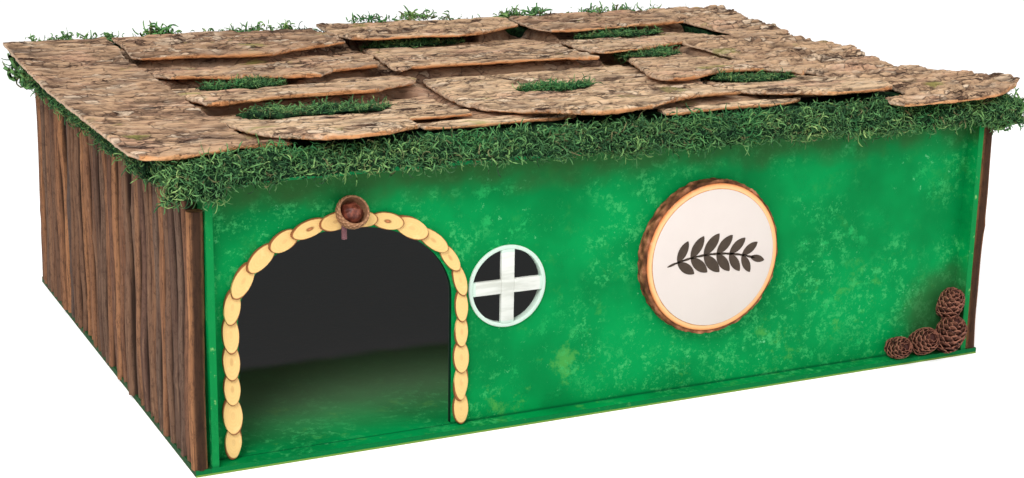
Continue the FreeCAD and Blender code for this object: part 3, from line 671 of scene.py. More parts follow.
# %% Slice wood
slice_wood = Finish("slice_wood", roughness=0.6)
off_middle = slice_wood.attribute("off_middle")
pith = slice_wood.attribute("pith")
rings = slice_wood.node("Math", {"operation": "SINE"},
                        {0: (off_middle + slice_wood.cloud(90.0) * 0.12) * 34.0})
fibre = slice_wood.cloud(240.0, detail=3.0)
cream = slice_wood.mix(screen(240, 200, 132), screen(226, 176, 104), rings * 0.12 + fibre * 0.3)
cream = slice_wood.mix(cream, screen(248, 216, 152), slice_wood.step(fibre, 0.55, 0.75) * 0.5)
heart_off = off_middle + (fibre - 0.5) * 0.12
heart = (1.0 - slice_wood.step(heart_off, 0.16, 0.32)) * pith
cream = slice_wood.mix(cream, screen(142, 84, 44), heart * 0.9)
core = (1.0 - slice_wood.step(heart_off, 0.05, 0.16)) * pith
cream = slice_wood.mix(cream, screen(206, 130, 86), core)
bark_edge = slice_wood.step(off_middle + (slice_wood.cloud(160.0) - 0.5) * 0.12, 0.90, 0.98)
cream = slice_wood.mix(cream, screen(150, 94, 58), bark_edge)
slice_wood.set(Base_Color=cream)
slice_wood.bump(fibre + rings * 0.15, 0.12 * millimetre, 0.5)

# %% All the slices
slice_seed = 4
thin_branch = 0.84
pithy_slices = (9, 12)
points, runs = trim_line()
usable = runs[-1] - slice_length
slice_count = int(usable // slice_pitch) + 1
pitch = usable / (slice_count - 1)
crown = runs[-1] / 2
chance = random.Random(slice_seed)
groups = {"left_jamb_slices": [], "arch_slices": [], "right_jamb_slices": []}
for index in range(slice_count):
    run = slice_length / 2 + pitch * index
    centre, way = on_trim(points, runs, run)
    if run > crown:
        way = -way
    middle = abs(run - crown) < pitch / 4
    lean = 0.0 if middle else math.asin(0.8 * slice_thick / pitch)
    width = slice_across * (thin_branch if run > crown + 3 * pitch else 1.0)
    bm = branch_slice(centre, way, lean, width, chance)
    axis_long = way
    axis_short = Vector((0, -1, 0)).cross(way)
    longest = max(abs((vert.co - centre).dot(axis_long)) for vert in bm.verts)
    widest = max(abs((vert.co - centre).dot(axis_short)) for vert in bm.verts)
    off = []
    for vert in bm.verts:
        ahead = (vert.co - centre).dot(axis_long) / longest
        aside = (vert.co - centre).dot(axis_short) / widest
        off.append(math.hypot(ahead, aside) + 0.10 * max(0.0, -ahead) ** 3)
    mesh = as_mesh(bm)
    store(mesh, "off_middle", off)
    has_pith = 1.0 if index in pithy_slices else chance.uniform(0.0, 0.35)
    store(mesh, "pith", [has_pith] * len(off))
    group = "arch_slices"
    if run < door_spring:
        group = "left_jamb_slices"
    elif run > runs[-1] - door_spring:
        group = "right_jamb_slices"
    groups[group].append(mesh)
for group, meshes in groups.items():
    joined = bmesh.new()
    for mesh in meshes:
        joined.from_mesh(mesh)
    piece_of("cut_" + group, joined, "house", slice_wood, [group], crease=40)
print("slices:", slice_count)

# %% [markdown]
# ## Round bodies
# The acorn's cup, its nut and its stalk are bodies of revolution. Their profile is drawn once,
# as points from the foot on the axis to the tip, and spun about it.

# %% Spinning a profile
def spun(profile, steps=36):
    """A body about the Z axis from pairs of radius and height."""
    bm = bmesh.new()
    bmesh.ops.create_vert(bm, co=(profile[0][0], 0, profile[0][1]))
    bm.verts.ensure_lookup_table()
    for (radius, level), (wider, higher) in zip(profile, profile[1:]):
        bm.verts.ensure_lookup_table()
        grown = bmesh.ops.extrude_vert_indiv(bm, verts=[bm.verts[-1]])["verts"]
        bmesh.ops.translate(bm, verts=grown, vec=(wider - radius, 0, higher - level))
    bmesh.ops.spin(bm, geom=bm.verts[:] + bm.edges[:], cent=(0, 0, 0), axis=(0, 0, 1),
                   angle=2 * math.pi, steps=steps)
    bmesh.ops.remove_doubles(bm, verts=bm.verts, dist=0.001 * millimetre)
    bmesh.ops.recalc_face_normals(bm, faces=bm.faces)
    return bm


# %% [markdown]
# ## The acorn
# An acorn cup is glued over the crown of the doorway, tipped so that it opens forward and up,
# with a shrunken nut still inside and its stalk hanging down. The cup's outside is covered with
# overlapping scales: two waves that run round it in opposite slants raise a diamond for each
# scale.

# %% The acorn's cup, nut and stalk
cup_radius = 9.8 * millimetre
cup_lift = 1.6 * millimetre
cup_wall = 1.5 * millimetre
cup_mouth = 2.6 * millimetre
cup_tilt = math.radians(34)
cup_low, cup_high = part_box("acorn_cap")
cup_middle = Vector(((cup_low.x + cup_high.x) / 2,
                     cup_high.y + 1.3 * millimetre - cup_radius * math.cos(cup_tilt),
                     (cup_low.z + cup_high.z) / 2 + cup_lift))
cup_place = Matrix.Translation(cup_middle) @ Matrix.Rotation(math.pi / 2 - cup_tilt, 4, "X")


def cup_arc(radius, count):
    """Points of a cup's outline from its bottom up to its mouth."""
    top = math.asin(cup_mouth / radius)
    angles = [-math.pi / 2 + (top + math.pi / 2) * index / count for index in range(count + 1)]
    return [(radius * math.cos(angle), radius * math.sin(angle)) for angle in angles]


outside = cup_arc(cup_radius, 22)
outside[0] = (0, -cup_radius)
hollow = cup_arc(cup_radius - cup_wall, 12)
hollow[0] = (0, cup_wall - cup_radius)
cup = spun(outside + hollow[::-1], 72)
proud = []
for vert in cup.verts:
    turn = math.atan2(vert.co.y, vert.co.x)
    steep = math.asin(max(-1, min(1, vert.co.z / cup_radius)))
    outer = vert.co.length > cup_radius - 0.1 * millimetre
    scale = abs(math.sin(9 * turn + 10 * steep) * math.sin(9 * turn - 10 * steep)) ** 0.6
    mouth = smooth_rise(vert.co.z, 0.6 * millimetre, cup_mouth)
    proud.append(float(scale if outer else 0.6))
    if outer:
        vert.co *= 0.955 + 0.06 * scale * (1 - mouth)
bmesh.ops.transform(cup, matrix=cup_place, verts=cup.verts)
cup = as_mesh(cup)
store(cup, "proud", proud)

cup_bark = Finish("acorn_cup", roughness=0.85)
crumbs = cup_bark.cloud(700.0, detail=4.0, roughness=0.7)
shell = cup_bark.ramp(cup_bark.attribute("proud") + (crumbs - 0.5) * 0.6,
                      (0.0, screen(76, 50, 36)), (0.4, screen(136, 96, 68)),
                      (0.8, screen(186, 138, 104)), (1.0, screen(214, 168, 132)))
cup_bark.set(Base_Color=shell)
cup_bark.bump(crumbs, 0.5 * millimetre)
piece_of("acorn_cup_scaly", cup, "house", cup_bark, ["acorn_cap"])

kernel_radius = 6.5 * millimetre
kernel_foot = cup_wall + 0.3 * millimetre - cup_radius
kernel = [(0.0, kernel_foot)]
for index in range(1, 20):
    share = index / 20
    kernel.append((kernel_radius * math.sin(math.pi * share ** 0.85) ** 0.6,
                   kernel_foot + 1.9 * kernel_radius * share))
kernel += [(0.7 * millimetre, kernel_foot + 1.93 * kernel_radius),
           (0.0, kernel_foot + 2.02 * kernel_radius)]
nut = spun(kernel)
for vert in nut.verts:
    turn = math.atan2(vert.co.y, vert.co.x)
    vert.co.xy *= 1 + 0.05 * math.cos(5 * turn) + 0.03 * math.cos(11 * turn)
bmesh.ops.transform(nut, matrix=cup_place, verts=nut.verts)

nut_skin = Finish("acorn_nut", roughness=0.35, shine=0.4)
lines = nut_skin.cloud(260.0, detail=4.0, roughness=0.6)
nut_skin.set(Base_Color=nut_skin.mix(screen(78, 34, 26), screen(138, 74, 56),
                                     nut_skin.step(lines, 0.4, 0.65)))
nut_skin.bump(lines, 0.4 * millimetre)
piece_of("acorn_nut_smooth", nut, "house", nut_skin, ["acorn_nut"])

stalk_low, stalk_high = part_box("acorn_stem")
broken_off = 4.5 * millimetre
stalk_low.z += broken_off
stalk_radius = 1.5 * millimetre
stalk_long = stalk_high.z - stalk_low.z
stalk = spun([(0, 0), (1.15 * stalk_radius, 0)]
             + [(stalk_radius * (1.1 - 0.1 * index / 9), stalk_long * index / 9)
                for index in range(1, 10)] + [(0, stalk_long)], 14)
for vert in stalk.verts:
    bent = noise.noise(Vector((3, 0, vert.co.z * 130)))
    vert.co.x += 0.8 * millimetre * bent
bmesh.ops.translate(stalk, verts=stalk.verts,
                    vec=((stalk_low.x + stalk_high.x) / 2, (stalk_low.y + stalk_high.y) / 2,
                         stalk_low.z))
stalk_bark = Finish("stalk_bark", roughness=0.7)
stalk_bark.set(Base_Color=stalk_bark.mix(screen(92, 58, 66), screen(146, 104, 106),
                                         stalk_bark.cloud(500.0, detail=4.0)))
stalk_bark.bump(stalk_bark.cloud(600.0), 0.4 * millimetre)
piece_of("acorn_stalk", stalk, "house", stalk_bark, ["acorn_stem"])

# %% [markdown]
# ## The cones
# Small cones fill the right corner. Their scales sit in rows of six, and each row is turned by
# half a scale from the row below. A scale is a cupped disc whose upper outer rim is pale as a
# painted highlight, and it leans outward less and less toward the tip. A dark core closes the
# gaps between the scales.

# %% One scale
def cone_scale():
    """A scale one unit wide on the origin, and each point's share of the painted rim highlight."""
    bm = bmesh.new()
    bmesh.ops.create_circle(bm, cap_ends=True, segments=14, radius=0.5)
    bmesh.ops.inset_region(bm, faces=bm.faces[:], thickness=0.07)
    bmesh.ops.inset_region(bm, faces=[max(bm.faces, key=lambda face: len(face.verts))],
                           thickness=0.18, depth=-0.03)
    thick = bmesh.ops.extrude_face_region(bm, geom=bm.faces[:])
    top = [item for item in thick["geom"] if isinstance(item, bmesh.types.BMVert)]
    bmesh.ops.translate(bm, verts=top, vec=(0, 0, 0.06))
    bmesh.ops.recalc_face_normals(bm, faces=bm.faces)
    edge = [float(smooth_rise(vert.co.xy.length, 0.44, 0.49) * smooth_rise(vert.co.y, 0.0, 0.25))
            for vert in bm.verts]
    for vert in bm.verts:
        vert.co.z += 0.35 * vert.co.y ** 2 - 0.6 * vert.co.x ** 2
        vert.co.y += 0.5
    return as_mesh(bm), edge


scale_mesh, scale_rim_highlight = cone_scale()
scale_points = coordinates(scale_mesh)

# %% One cone
cone_rows = 11
scales_in_row = 6
cone_width = 22 * millimetre
cone_length = 25 * millimetre
sunk = 2.5 * millimetre


def scaly_cone(node, size, tilt, spin):
    """A cone in place of its construction node: rows of scales round a leaning core."""
    low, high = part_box(node)
    bm = bmesh.new()
    work = scale_mesh.copy()
    edges = []
    for row in range(cone_rows):
        share = (row + 0.5) / cone_rows
        half = size * cone_width / 2 * math.sin(math.pi * (0.30 + 0.68 * share)) ** 0.6
        open_out = math.radians(74 - 60 * share)
        across = max(1.15 * half, 0.26 * size * cone_width)
        arm = across * math.sin(open_out)
        for index in range(scales_in_row):
            turn = spin + 2 * math.pi * (index + row % 2 / 2) / scales_in_row
            place = (Matrix.Rotation(turn, 4, "Z")
                     @ Matrix.Translation((0, half - arm, share * 0.9 * size * cone_length))
                     @ Matrix.Rotation(math.pi / 2 - open_out, 4, "X"))
            turned = np.array(place.to_3x3()) * across
            points = scale_points @ turned.T + np.array(place.translation)
            work.vertices.foreach_set("co", points.astype(np.float32).ravel())
            bm.from_mesh(work)
            edges += scale_rim_highlight
    bpy.data.meshes.remove(work)
    core_wide = 0.40 * size * cone_width
    core_tall = 0.52 * size * cone_length
    core = bmesh.ops.create_icosphere(
        bm, subdivisions=3, radius=1, matrix=Matrix.Translation((0, 0, core_tall))
        @ Matrix.Diagonal((core_wide, core_wide, core_tall, 1)))["verts"]
    edges += [0.0] * len(core)
    bmesh.ops.rotate(bm, verts=bm.verts, cent=(0, 0, 0), matrix=Matrix.Rotation(tilt, 3, "X"))
    own_low = [min(vert.co[axis] for vert in bm.verts) for axis in range(3)]
    own_high = [max(vert.co[axis] for vert in bm.verts) for axis in range(3)]
    bmesh.ops.translate(bm, verts=bm.verts,
                        vec=((low.x + high.x - own_low[0] - own_high[0]) / 2,
                             high.y - own_high[1], max(floor_level, low.z - sunk) - own_low[2]))
    mesh = as_mesh(bm)
    store(mesh, "edge", edges)
    return mesh


cone_wood = Finish("cone_wood", roughness=0.7, shine=0.25)
edge = cone_wood.attribute("edge")
wear = cone_wood.cloud(420.0, detail=4.0, roughness=0.65)
woody = cone_wood.mix(screen(28, 12, 11), screen(80, 38, 30), wear)
# Painted highlight: the upper rims of the scales are pale, as if they catch the light.
woody = cone_wood.mix(woody, screen(176, 116, 94), edge * cone_wood.step(wear, 0.36, 0.58) * 0.8)
cone_wood.set(Base_Color=woody)
cone_wood.bump(wear, 0.3 * millimetre)
for name, size, tilt, spin in (("corner", 0.96, 28, 0.2), ("upper", 0.82, 24, 0.7),
                               ("second", 0.82, 58, 0.4), ("first", 0.70, 70, 0.0)):
    node = "pine_cone_" + name
    piece_of("scaly_" + node, scaly_cone(node, size, math.radians(tilt), spin), "house",
             cone_wood, [node], crease=50)

# %% [markdown]
# ## The sign
# The sign is a slice sawn across a log. Its bark stays on as a rough ring, the sawn wood shows
# as a peach-coloured band with a painted highlight just outside the disc and painted shade
# toward the bark, and a thin cream disc covers the middle. A painted sprig of leaves decorates
# the disc.

# %% The sign's wood and disc
sign_low, sign_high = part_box("sign_slice")
sign_middle = (sign_low + sign_high) / 2
sign_radius = (sign_high.x - sign_low.x) / 2
disc_low, disc_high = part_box("sign_face")
disc_share = (disc_high.x - disc_low.x) / 2 / sign_radius

# The real slice is a little larger than its construction node, and lies a little to the left
wider = 1.03
to_left = Vector((-1, 0, 0)) * millimetre
sign_place = (Matrix.Translation(sign_middle + to_left)
              @ Matrix.Diagonal((wider, 1, wider, 1)) @ Matrix.Translation(-sign_middle))


def on_sign(bm):
    """Bring a part of the sign to its own size and place."""
    bmesh.ops.transform(bm, matrix=sign_place, verts=bm.verts)
    return bm


sawn = Finish("sign_wood", roughness=0.6)
outward = sawn.distance(sign_place @ sign_middle, (1, 0, 1)) * (1 / sign_radius / wider)
pores = sawn.cloud(160.0, detail=5.0, roughness=0.6)
# A thin brown line at the disc's edge, then painted light on the rim: pale peach as a painted
# highlight, darker orange toward the bark as painted shade.
peach_band_and_highlight = sawn.ramp(outward + (pores - 0.5) * 0.02, (disc_share, screen(196, 118, 58)),
                 (disc_share + 0.014, screen(255, 204, 150)), (0.975, screen(252, 184, 122)),
                 (1.0, screen(214, 128, 76)))
sawn.set(Base_Color=sawn.mix(peach_band_and_highlight, screen(255, 214, 168), sawn.step(pores, 0.55, 0.75) * 0.4))
sawn.bump(pores, 0.3 * millimetre)
piece_of("sawn_slice", on_sign(softened("sign_slice", 0.6 * millimetre)), "house", sawn,
         ["sign_slice"], crease=35)

cream_paint = Finish("sign_cream", roughness=0.6)
cream_paint.set(Base_Color=cream_paint.mix(screen(220, 207, 200), screen(228, 217, 210),
                                           cream_paint.cloud(40.0, detail=4.0)))
piece_of("cream_disc", on_sign(softened("sign_face", 0.2 * millimetre)), "house", cream_paint,
         ["sign_face"], crease=35)

# %% The sign's bark
ring = remeshed(on_sign(welded("sign_bark")), 0.8 * millimetre)
points = coordinates(ring)
normals = coordinates(ring, "normal")
moved = points.copy()
flakes = np.zeros(len(points))
for index, (x, y, z) in enumerate(points):
    place = Vector((x, y, z))
    way = (place - sign_middle) * Vector((1, 0, 1))
    flake = noise.noise(Vector((x * 190, y * 330, z * 190)))
    flakes[index] = 0.5 + 0.5 * flake
    if way.length > sign_radius + 0.8 * millimetre:
        moved[index] += (np.array(way.normalized())
                         * (0.9 * flake + 0.4 * noise.noise(place * 500) - 0.2) * millimetre)
move_points(ring, moved)
store(ring, "flake", flakes)

ring_bark = Finish("sign_bark", roughness=0.9)
flake = ring_bark.attribute("flake")
speck = ring_bark.cloud(300.0, detail=5.0, roughness=0.7)
rough = ring_bark.ramp(flake + (speck - 0.5) * 0.7, (0.2, screen(62, 38, 26)),
                       (0.45, screen(110, 70, 46)), (0.62, screen(146, 94, 64)),
                       (0.8, screen(186, 124, 92)))
ring_bark.set(Base_Color=rough)
ring_bark.bump(speck + flake * 0.5, 0.8 * millimetre)
piece_of("rough_ring", ring, "house", ring_bark, ["sign_bark"], crease=60)

# %% [markdown]
# ## The sprig on the sign
# Each leaf is a circle drawn out to two points, raised by the thickness of the paint. The
# leaves stand in pairs on a gently curved stem and get smaller toward its tip.

# %% The painted sprig
paint_thick = 0.25 * millimetre
sprig_long = 62 * millimetre
stem_strokes = 12
leaf_pairs = 6
leaf_length = 17 * millimetre
bow_up = 5 * millimetre


def leaf(length, width, at, turn):
    """One painted leaf or stretch of stem on the disc, pointing away from a place."""
    bm = bmesh.new()
    bmesh.ops.create_circle(bm, cap_ends=True, segments=24, radius=1)
    for vert in bm.verts:
        across = vert.co.y * max(0.0, 1 - vert.co.x ** 2) ** 0.3
        vert.co = Vector(((vert.co.x + 1) / 2 * length, 0, across * width / 2))
    raised = bmesh.ops.extrude_face_region(bm, geom=bm.faces[:])
    front = [item for item in raised["geom"] if isinstance(item, bmesh.types.BMVert)]
    bmesh.ops.translate(bm, verts=front, vec=(0, -paint_thick, 0))
    bmesh.ops.recalc_face_normals(bm, faces=bm.faces)
    place = (Matrix.Translation((sign_middle.x + at[0], disc_low.y, sign_middle.z + at[1]))
             @ Matrix.Rotation(-turn, 4, "Y"))
    bmesh.ops.transform(bm, matrix=place, verts=bm.verts)
    return as_mesh(bm)


def stem_at(share):
    """The place and the direction of the stem at a share of its length."""
    x = (share - 0.56) * sprig_long
    slope = -8 * bow_up * (share - 0.5) / sprig_long
    return (x, bow_up * (1 - 4 * (share - 0.5) ** 2) - bow_up / 2), math.atan(slope)


sprig = bmesh.new()
parts = []
for index in range(stem_strokes):
    at, turn = stem_at(index / stem_strokes)
    parts.append(leaf(sprig_long / stem_strokes * 1.5, 1.5 * millimetre, at, turn))
for index in range(leaf_pairs):
    share = 0.12 + 0.76 * index / (leaf_pairs - 1)
    at, turn = stem_at(share)
    size = leaf_length * (1 - 0.45 * abs(share - 0.4))
    for way in (-1, 1):
        parts.append(leaf(size, size * 0.42, at, turn + way * math.radians(48)))
at, turn = stem_at(0.98)
parts.append(leaf(11 * millimetre, 4.6 * millimetre, at, turn))
for part in parts:
    sprig.from_mesh(part)
dark_paint = Finish("sprig_paint", roughness=0.55)
dark_paint.set(Base_Color=dark_paint.mix(screen(58, 48, 42), screen(88, 74, 62),
                                         dark_paint.cloud(220.0, detail=3.0)))
piece_of("painted_sprig", sprig, "house", dark_paint, crease=40)
print("sprig of", len(parts), "strokes")

# %% [markdown]
# ## The bark roof
# Fifteen pieces of bark are the making of this house. Each construction node is a smooth bent
# sheet with the right outline. Its skin is rebuilt as small even squares, and then every point
# is moved by a relief that is worked out from its place: long wandering fissures along the
# grain, raised flakes with a broken edge, and fine crumbs over everything. The broken rims and
# the underside are left smoother, because that is the inner bark. How deep a point lies in a
# fissure, and how much of it is rim, is stored for the finish.

# %% The relief of bark
bark_voxel = 1.4 * millimetre
# Each piece: its tone from dark to pale, how coarse its relief is, and its own noise seed
BARKS = {
    "bark_left_front": (0.75, 0.8, 1.0), "bark_left_second": (0.64, 1.0, 2.0),
    "bark_left_third": (0.50, 1.3, 3.0), "bark_left_rear": (0.36, 1.3, 4.0),
    "bark_centre_front": (0.75, 1.1, 5.0), "bark_centre_middle": (0.60, 1.0, 6.0),
    "bark_centre_rear": (0.58, 1.4, 7.0), "bark_right_front": (0.78, 0.9, 8.0),
    "bark_right_second": (0.62, 1.0, 9.0), "bark_right_third": (0.66, 1.0, 10.0),
    "bark_right_rear": (0.40, 1.5, 11.0), "bark_strip_left": (0.90, 0.6, 12.0),
    "bark_strip_right": (0.90, 0.6, 13.0), "bark_left_side": (0.42, 0.9, 14.0),
    "bark_right_side": (0.52, 1.7, 15.0),
}


def relief(x, y, seed):
    """The height of the bark at a place, in millimetres, and how deep in a fissure it lies."""
    wander = 0.006 * noise.noise(Vector((x * 16, y * 16, seed)))
    fissure = abs(noise.noise(Vector((x * 17, (y + wander) * 88, seed + 20))))
    finer = abs(noise.noise(Vector((x * 38, (y + wander) * 190, seed + 40))))
    flake = noise.noise(Vector((x * 26, (y - wander) * 70, seed + 60)))
    crumbs = noise.noise(Vector((x * 210, y * 330, seed)))
    deep = max(0.0, 1 - fissure / 0.16)
    hair = max(0.0, 1 - finer / 0.14)
    plate = min(1.0, max(0.0, (flake - 0.02) / 0.07))
    rise = 0.9 * plate - 1.5 * deep - 0.5 * hair * (1 - deep) + 0.35 * crumbs
    return rise, min(1.0, deep + 0.55 * hair + 0.25 * (1 - plate) * (flake > -0.06))


def weathered(node):
    """A piece of bark with its relief, and what its finish needs to know."""
    tone_of_piece, coarse, seed = BARKS[node]
    skin = remeshed(welded(node), bark_voxel)
    points = coordinates(skin)
    normals = coordinates(skin, "normal")
    top = smooth_rise(normals[:, 2], 0.35, 0.75)
    moved = points.copy()
    deep = np.zeros(len(points))
    for index, (x, y, z) in enumerate(points):
        rise, deep[index] = relief(x, y, seed)
        chip = noise.noise(Vector((x * 60, y * 60, seed + z * 150)))
        notch = noise.noise(Vector((x * 240, y * 240, seed)))
        shift = coarse * rise * top[index] + (1 - top[index]) * (0.7 * chip + 0.35 * notch)
        moved[index] += normals[index] * shift * millimetre
    move_points(skin, moved)
    sideways = smooth_rise(np.abs(normals[:, 0]), 0.45, 0.75)
    store(skin, "fissure", deep * top)
    store(skin, "rim", (1 - top) * (1 - sideways))
    store(skin, "worn_side", (1 - top) * sideways)
    store(skin, "tone", np.full(len(points), tone_of_piece))
    return skin


# %% [markdown]
# Old bark is grey-tan on its outer plates, brown in the fissures and bright orange where it
# has broken. Grain noise drawn out along X lays streaks over the plates, and a little
# yellow-green algae sits in low patches.

# %% Roof bark
roof_bark = Finish("roof_bark", roughness=0.9)
fissure = roof_bark.attribute("fissure")
rim = roof_bark.attribute("rim")
tone = roof_bark.attribute("tone")
grain = roof_bark.cloud(9.0, detail=8.0, roughness=0.7, place=roof_bark.stretch((3.0, 16.0, 16.0)))
fine = roof_bark.cloud(50.0, detail=6.0, roughness=0.75, place=roof_bark.stretch((1.5, 4.0, 4.0)))
blotch = roof_bark.cloud(22.0, detail=4.0, roughness=0.6)
plate_cells = (0.5, 1.2, 1.2)
flake_cells = (0.8, 1.0, 1.0)
coarse_crack = roof_bark.cells(46.0, plate_cells, 0.022)
fine_crack = roof_bark.cells(140.0, flake_cells, 0.008)
flake_colour = roof_bark.cells(140.0, flake_cells, 0.008, "F1", "Color")
flake_tone = roof_bark.node("SeparateColor", {}, {0: flake_colour}, "Red")
plates = roof_bark.ramp(tone + (grain - 0.5) * 1.0, (0.0, screen(146, 116, 92)),
                        (0.35, screen(192, 154, 122)), (0.6, screen(222, 184, 146)),
                        (1.0, screen(250, 216, 174)))
plates = roof_bark.mix(plates, screen(226, 176, 146), roof_bark.step(blotch, 0.52, 0.66) * 0.5)
plates = roof_bark.mix(plates, screen(154, 134, 118), roof_bark.step(blotch, 0.46, 0.32) * 0.5)
scaly = roof_bark.step(roof_bark.cloud(15.0, detail=5.0, roughness=0.65,
                                       place=roof_bark.stretch((1.0, 1.8, 1.8))), 0.46, 0.56)
dark_flakes = roof_bark.step(flake_tone, 0.55, 0.95)
pale_flakes = roof_bark.step(flake_tone, 0.35, 0.05)
plates = roof_bark.mix(plates, screen(112, 82, 66), scaly * dark_flakes * 0.65)
plates = roof_bark.mix(plates, screen(250, 228, 200), pale_flakes * (0.15 + scaly * 0.45))
plates = roof_bark.mix(plates, screen(100, 72, 56), (1.0 - roof_bark.step(fine, 0.38, 0.45)) * 0.65)
plates = roof_bark.mix(plates, screen(250, 230, 204), roof_bark.step(fine, 0.58, 0.68) * 0.5)
dashes = roof_bark.step(roof_bark.cloud(62.0, detail=6.0, roughness=0.62,
                                        place=roof_bark.stretch((0.9, 2.6, 2.6))), 0.57, 0.60)
plates = roof_bark.mix(plates, screen(62, 42, 34), dashes * (0.22 + scaly * 0.68))
hairlines = (1.0 - roof_bark.step(fine_crack, 0.02, 0.09)) * (0.04 + scaly * 0.9)
cracks = (1.0 - roof_bark.step(coarse_crack, 0.004, 0.02)) * roof_bark.step(blotch, 0.42, 0.52)
plates = roof_bark.mix(plates, screen(66, 46, 38), hairlines * 0.65)
plates = roof_bark.mix(plates, screen(46, 30, 26), cracks * 0.5)
# On the scraps under the bark, the fissure number also carries painted shade on the steep steps
# under the lips.
plates = roof_bark.mix(plates, screen(58, 38, 30), fissure * 0.7)
plates = roof_bark.mix(plates, screen(218, 188, 160), roof_bark.attribute("worn_side") * 0.8)
algae = roof_bark.step(roof_bark.cloud(30.0, detail=5.0), 0.62, 0.72)
plates = roof_bark.mix(plates, screen(150, 148, 76), algae * 0.6)
inner = roof_bark.ramp(grain, (0.25, screen(154, 96, 60)), (0.5, screen(216, 152, 102)),
                       (0.8, screen(238, 190, 140)))
inner = roof_bark.mix(inner, screen(116, 62, 38), (1.0 - roof_bark.step(fine, 0.34, 0.44)) * 0.8)
roof_bark.set(Base_Color=roof_bark.mix(plates, inner, rim))
roof_bark.bump(fine * 0.8 + grain * 0.6 - cracks * 0.5 - hairlines * 0.4 - dashes * 0.4
               + roof_bark.cloud(420.0, detail=3.0) * 0.35, 1.5 * millimetre, 1.0)

# %% All the bark
barks = {}
for node in BARKS:
    barks[node] = piece_of("weathered_" + node, weathered(node), "roof", roof_bark,
                           [node])
print("bark faces:", sum(len(piece.data.polygons) for piece in barks.values()))

# %% [markdown]
# ## Scraps under the bark
# Between the big pieces lie scraps that fill every gap, so the roof board hardly shows. They
# are one sheet of small squares, and its height is felt out with rays: under a piece of bark the
# sheet stays just below the piece, and a few millimetres back from its edge. Where there is no
# bark above, the sheet is stretched between its known heights by averaging neighbours again and
# again. Under the tufts of moss it stays down on the board.

# %% A search tree of the bark
def bark_tree():
    """A search tree of all the bark, for rays."""
    joined = bmesh.new()
    for piece in barks.values():
        joined.from_mesh(piece.data)
    tree = BVHTree.FromBMesh(joined)
    joined.free()
    return tree


shelter = bark_tree()

# %% The sheet of scraps
scraps_step = 2 * millimetre
scraps_clear = 1.2 * millimetre
under_tuft = 1.5 * millimetre
stretch_turns = 300
ease_turns = 8
moss_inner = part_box("moss_front")[1].y
scraps_half = Vector((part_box("moss_right")[0].x, -moss_inner)) + Vector((1, 1)) * 2 * millimetre
columns = round(2 * scraps_half.x / scraps_step)
rows = round(2 * scraps_half.y / scraps_step)
tuft_boxes = [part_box(node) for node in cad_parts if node.startswith("moss_tuft")]


def under_bark(x, y):
    """The height just below the topmost bark at a place, or not a number if there is none."""
    down = Vector((0, 0, -1))
    for low, high in tuft_boxes:
        if low.x < x < high.x and low.y < y < high.y:
            return roof_level + under_tuft
    top = shelter.ray_cast(Vector((x, y, roof_level + 0.1)), down)[0]
    if top is None:
        return math.nan
    below = shelter.ray_cast(top + 0.3 * millimetre * down, down)[0]
    return (below or top).z - scraps_clear


def neighbour_mean(level):
    """The mean of the four neighbours of each height in the sheet."""
    padded = np.pad(level, 1, mode="edge")
    return (padded[:-2, 1:-1] + padded[2:, 1:-1] + padded[1:-1, :-2] + padded[1:-1, 2:]) / 4


bm = bmesh.new()
bmesh.ops.create_grid(bm, x_segments=columns, y_segments=rows, size=1)
for vert in bm.verts:
    vert.co = Vector((vert.co.x * scraps_half.x, vert.co.y * scraps_half.y, roof_level))
scraps = as_mesh(bm, "scraps")
points = coordinates(scraps)
order = np.lexsort((points[:, 0].round(6), points[:, 1].round(6)))
known = np.array([under_bark(*points[index, :2]) for index in order])
known = known.reshape(rows + 1, columns + 1)
back = np.fmin.reduce([np.roll(known, (down, across), (0, 1))
                       for down in range(-2, 3) for across in range(-2, 3)])
back = np.where(np.isnan(known), np.nan, back)
level = np.where(np.isnan(back), np.nanmean(back), back)
for turn in range(stretch_turns):
    level = np.where(np.isnan(back), neighbour_mean(level), back)
for turn in range(ease_turns):
    level = np.fmin(neighbour_mean(level), back)
steep = np.hypot(*np.gradient(level, scraps_step))
points[order, 2] = level.ravel()
rough = [0.8 * noise.noise(Vector((x * 60, y * 150, 3))) for x, y, z in points]
points[:, 2] += np.array(rough) * millimetre * np.isnan(back).ravel()[np.argsort(order)]
move_points(scraps, points)
# Painted shade: the steep steps of the sheet, which lie under the lips of the bark, darken through
# the finish's fissure colour, and the sheet takes a low tone for the shade under the bark.
shade_on_steps = np.zeros(len(points))
shade_on_steps[order] = np.clip(steep.ravel(), 0, 1)
store(scraps, "fissure", np.maximum(shade_on_steps, np.clip(-1.2 * np.array(rough), 0, 1)))
store(scraps, "tone", np.full(len(points), 0.4))
piece_of("bark_scraps", scraps, "roof", roof_bark)
print("scraps:", len(scraps.polygons), "squares, open:", int(np.isnan(known).sum()))

# %% [markdown]
# ## Moss
# Dried moss is a mat of thin curly strands. The mat itself is a lumpy dark bed, made from the
# construction solid, and thousands of strands are strewn over it. A strand is a three-sided
# tube, grown by extruding its end again and again while its direction turns about a wandering
# hinge, so it curls. A few dozen shapes are enough: each copy is turned, sized and given its
# own tone.

# %% One strand
strand_sides = 3
strand_joints = 5
strand_radius = 0.050
sprout_radius = 0.095
strand_kinds = 60


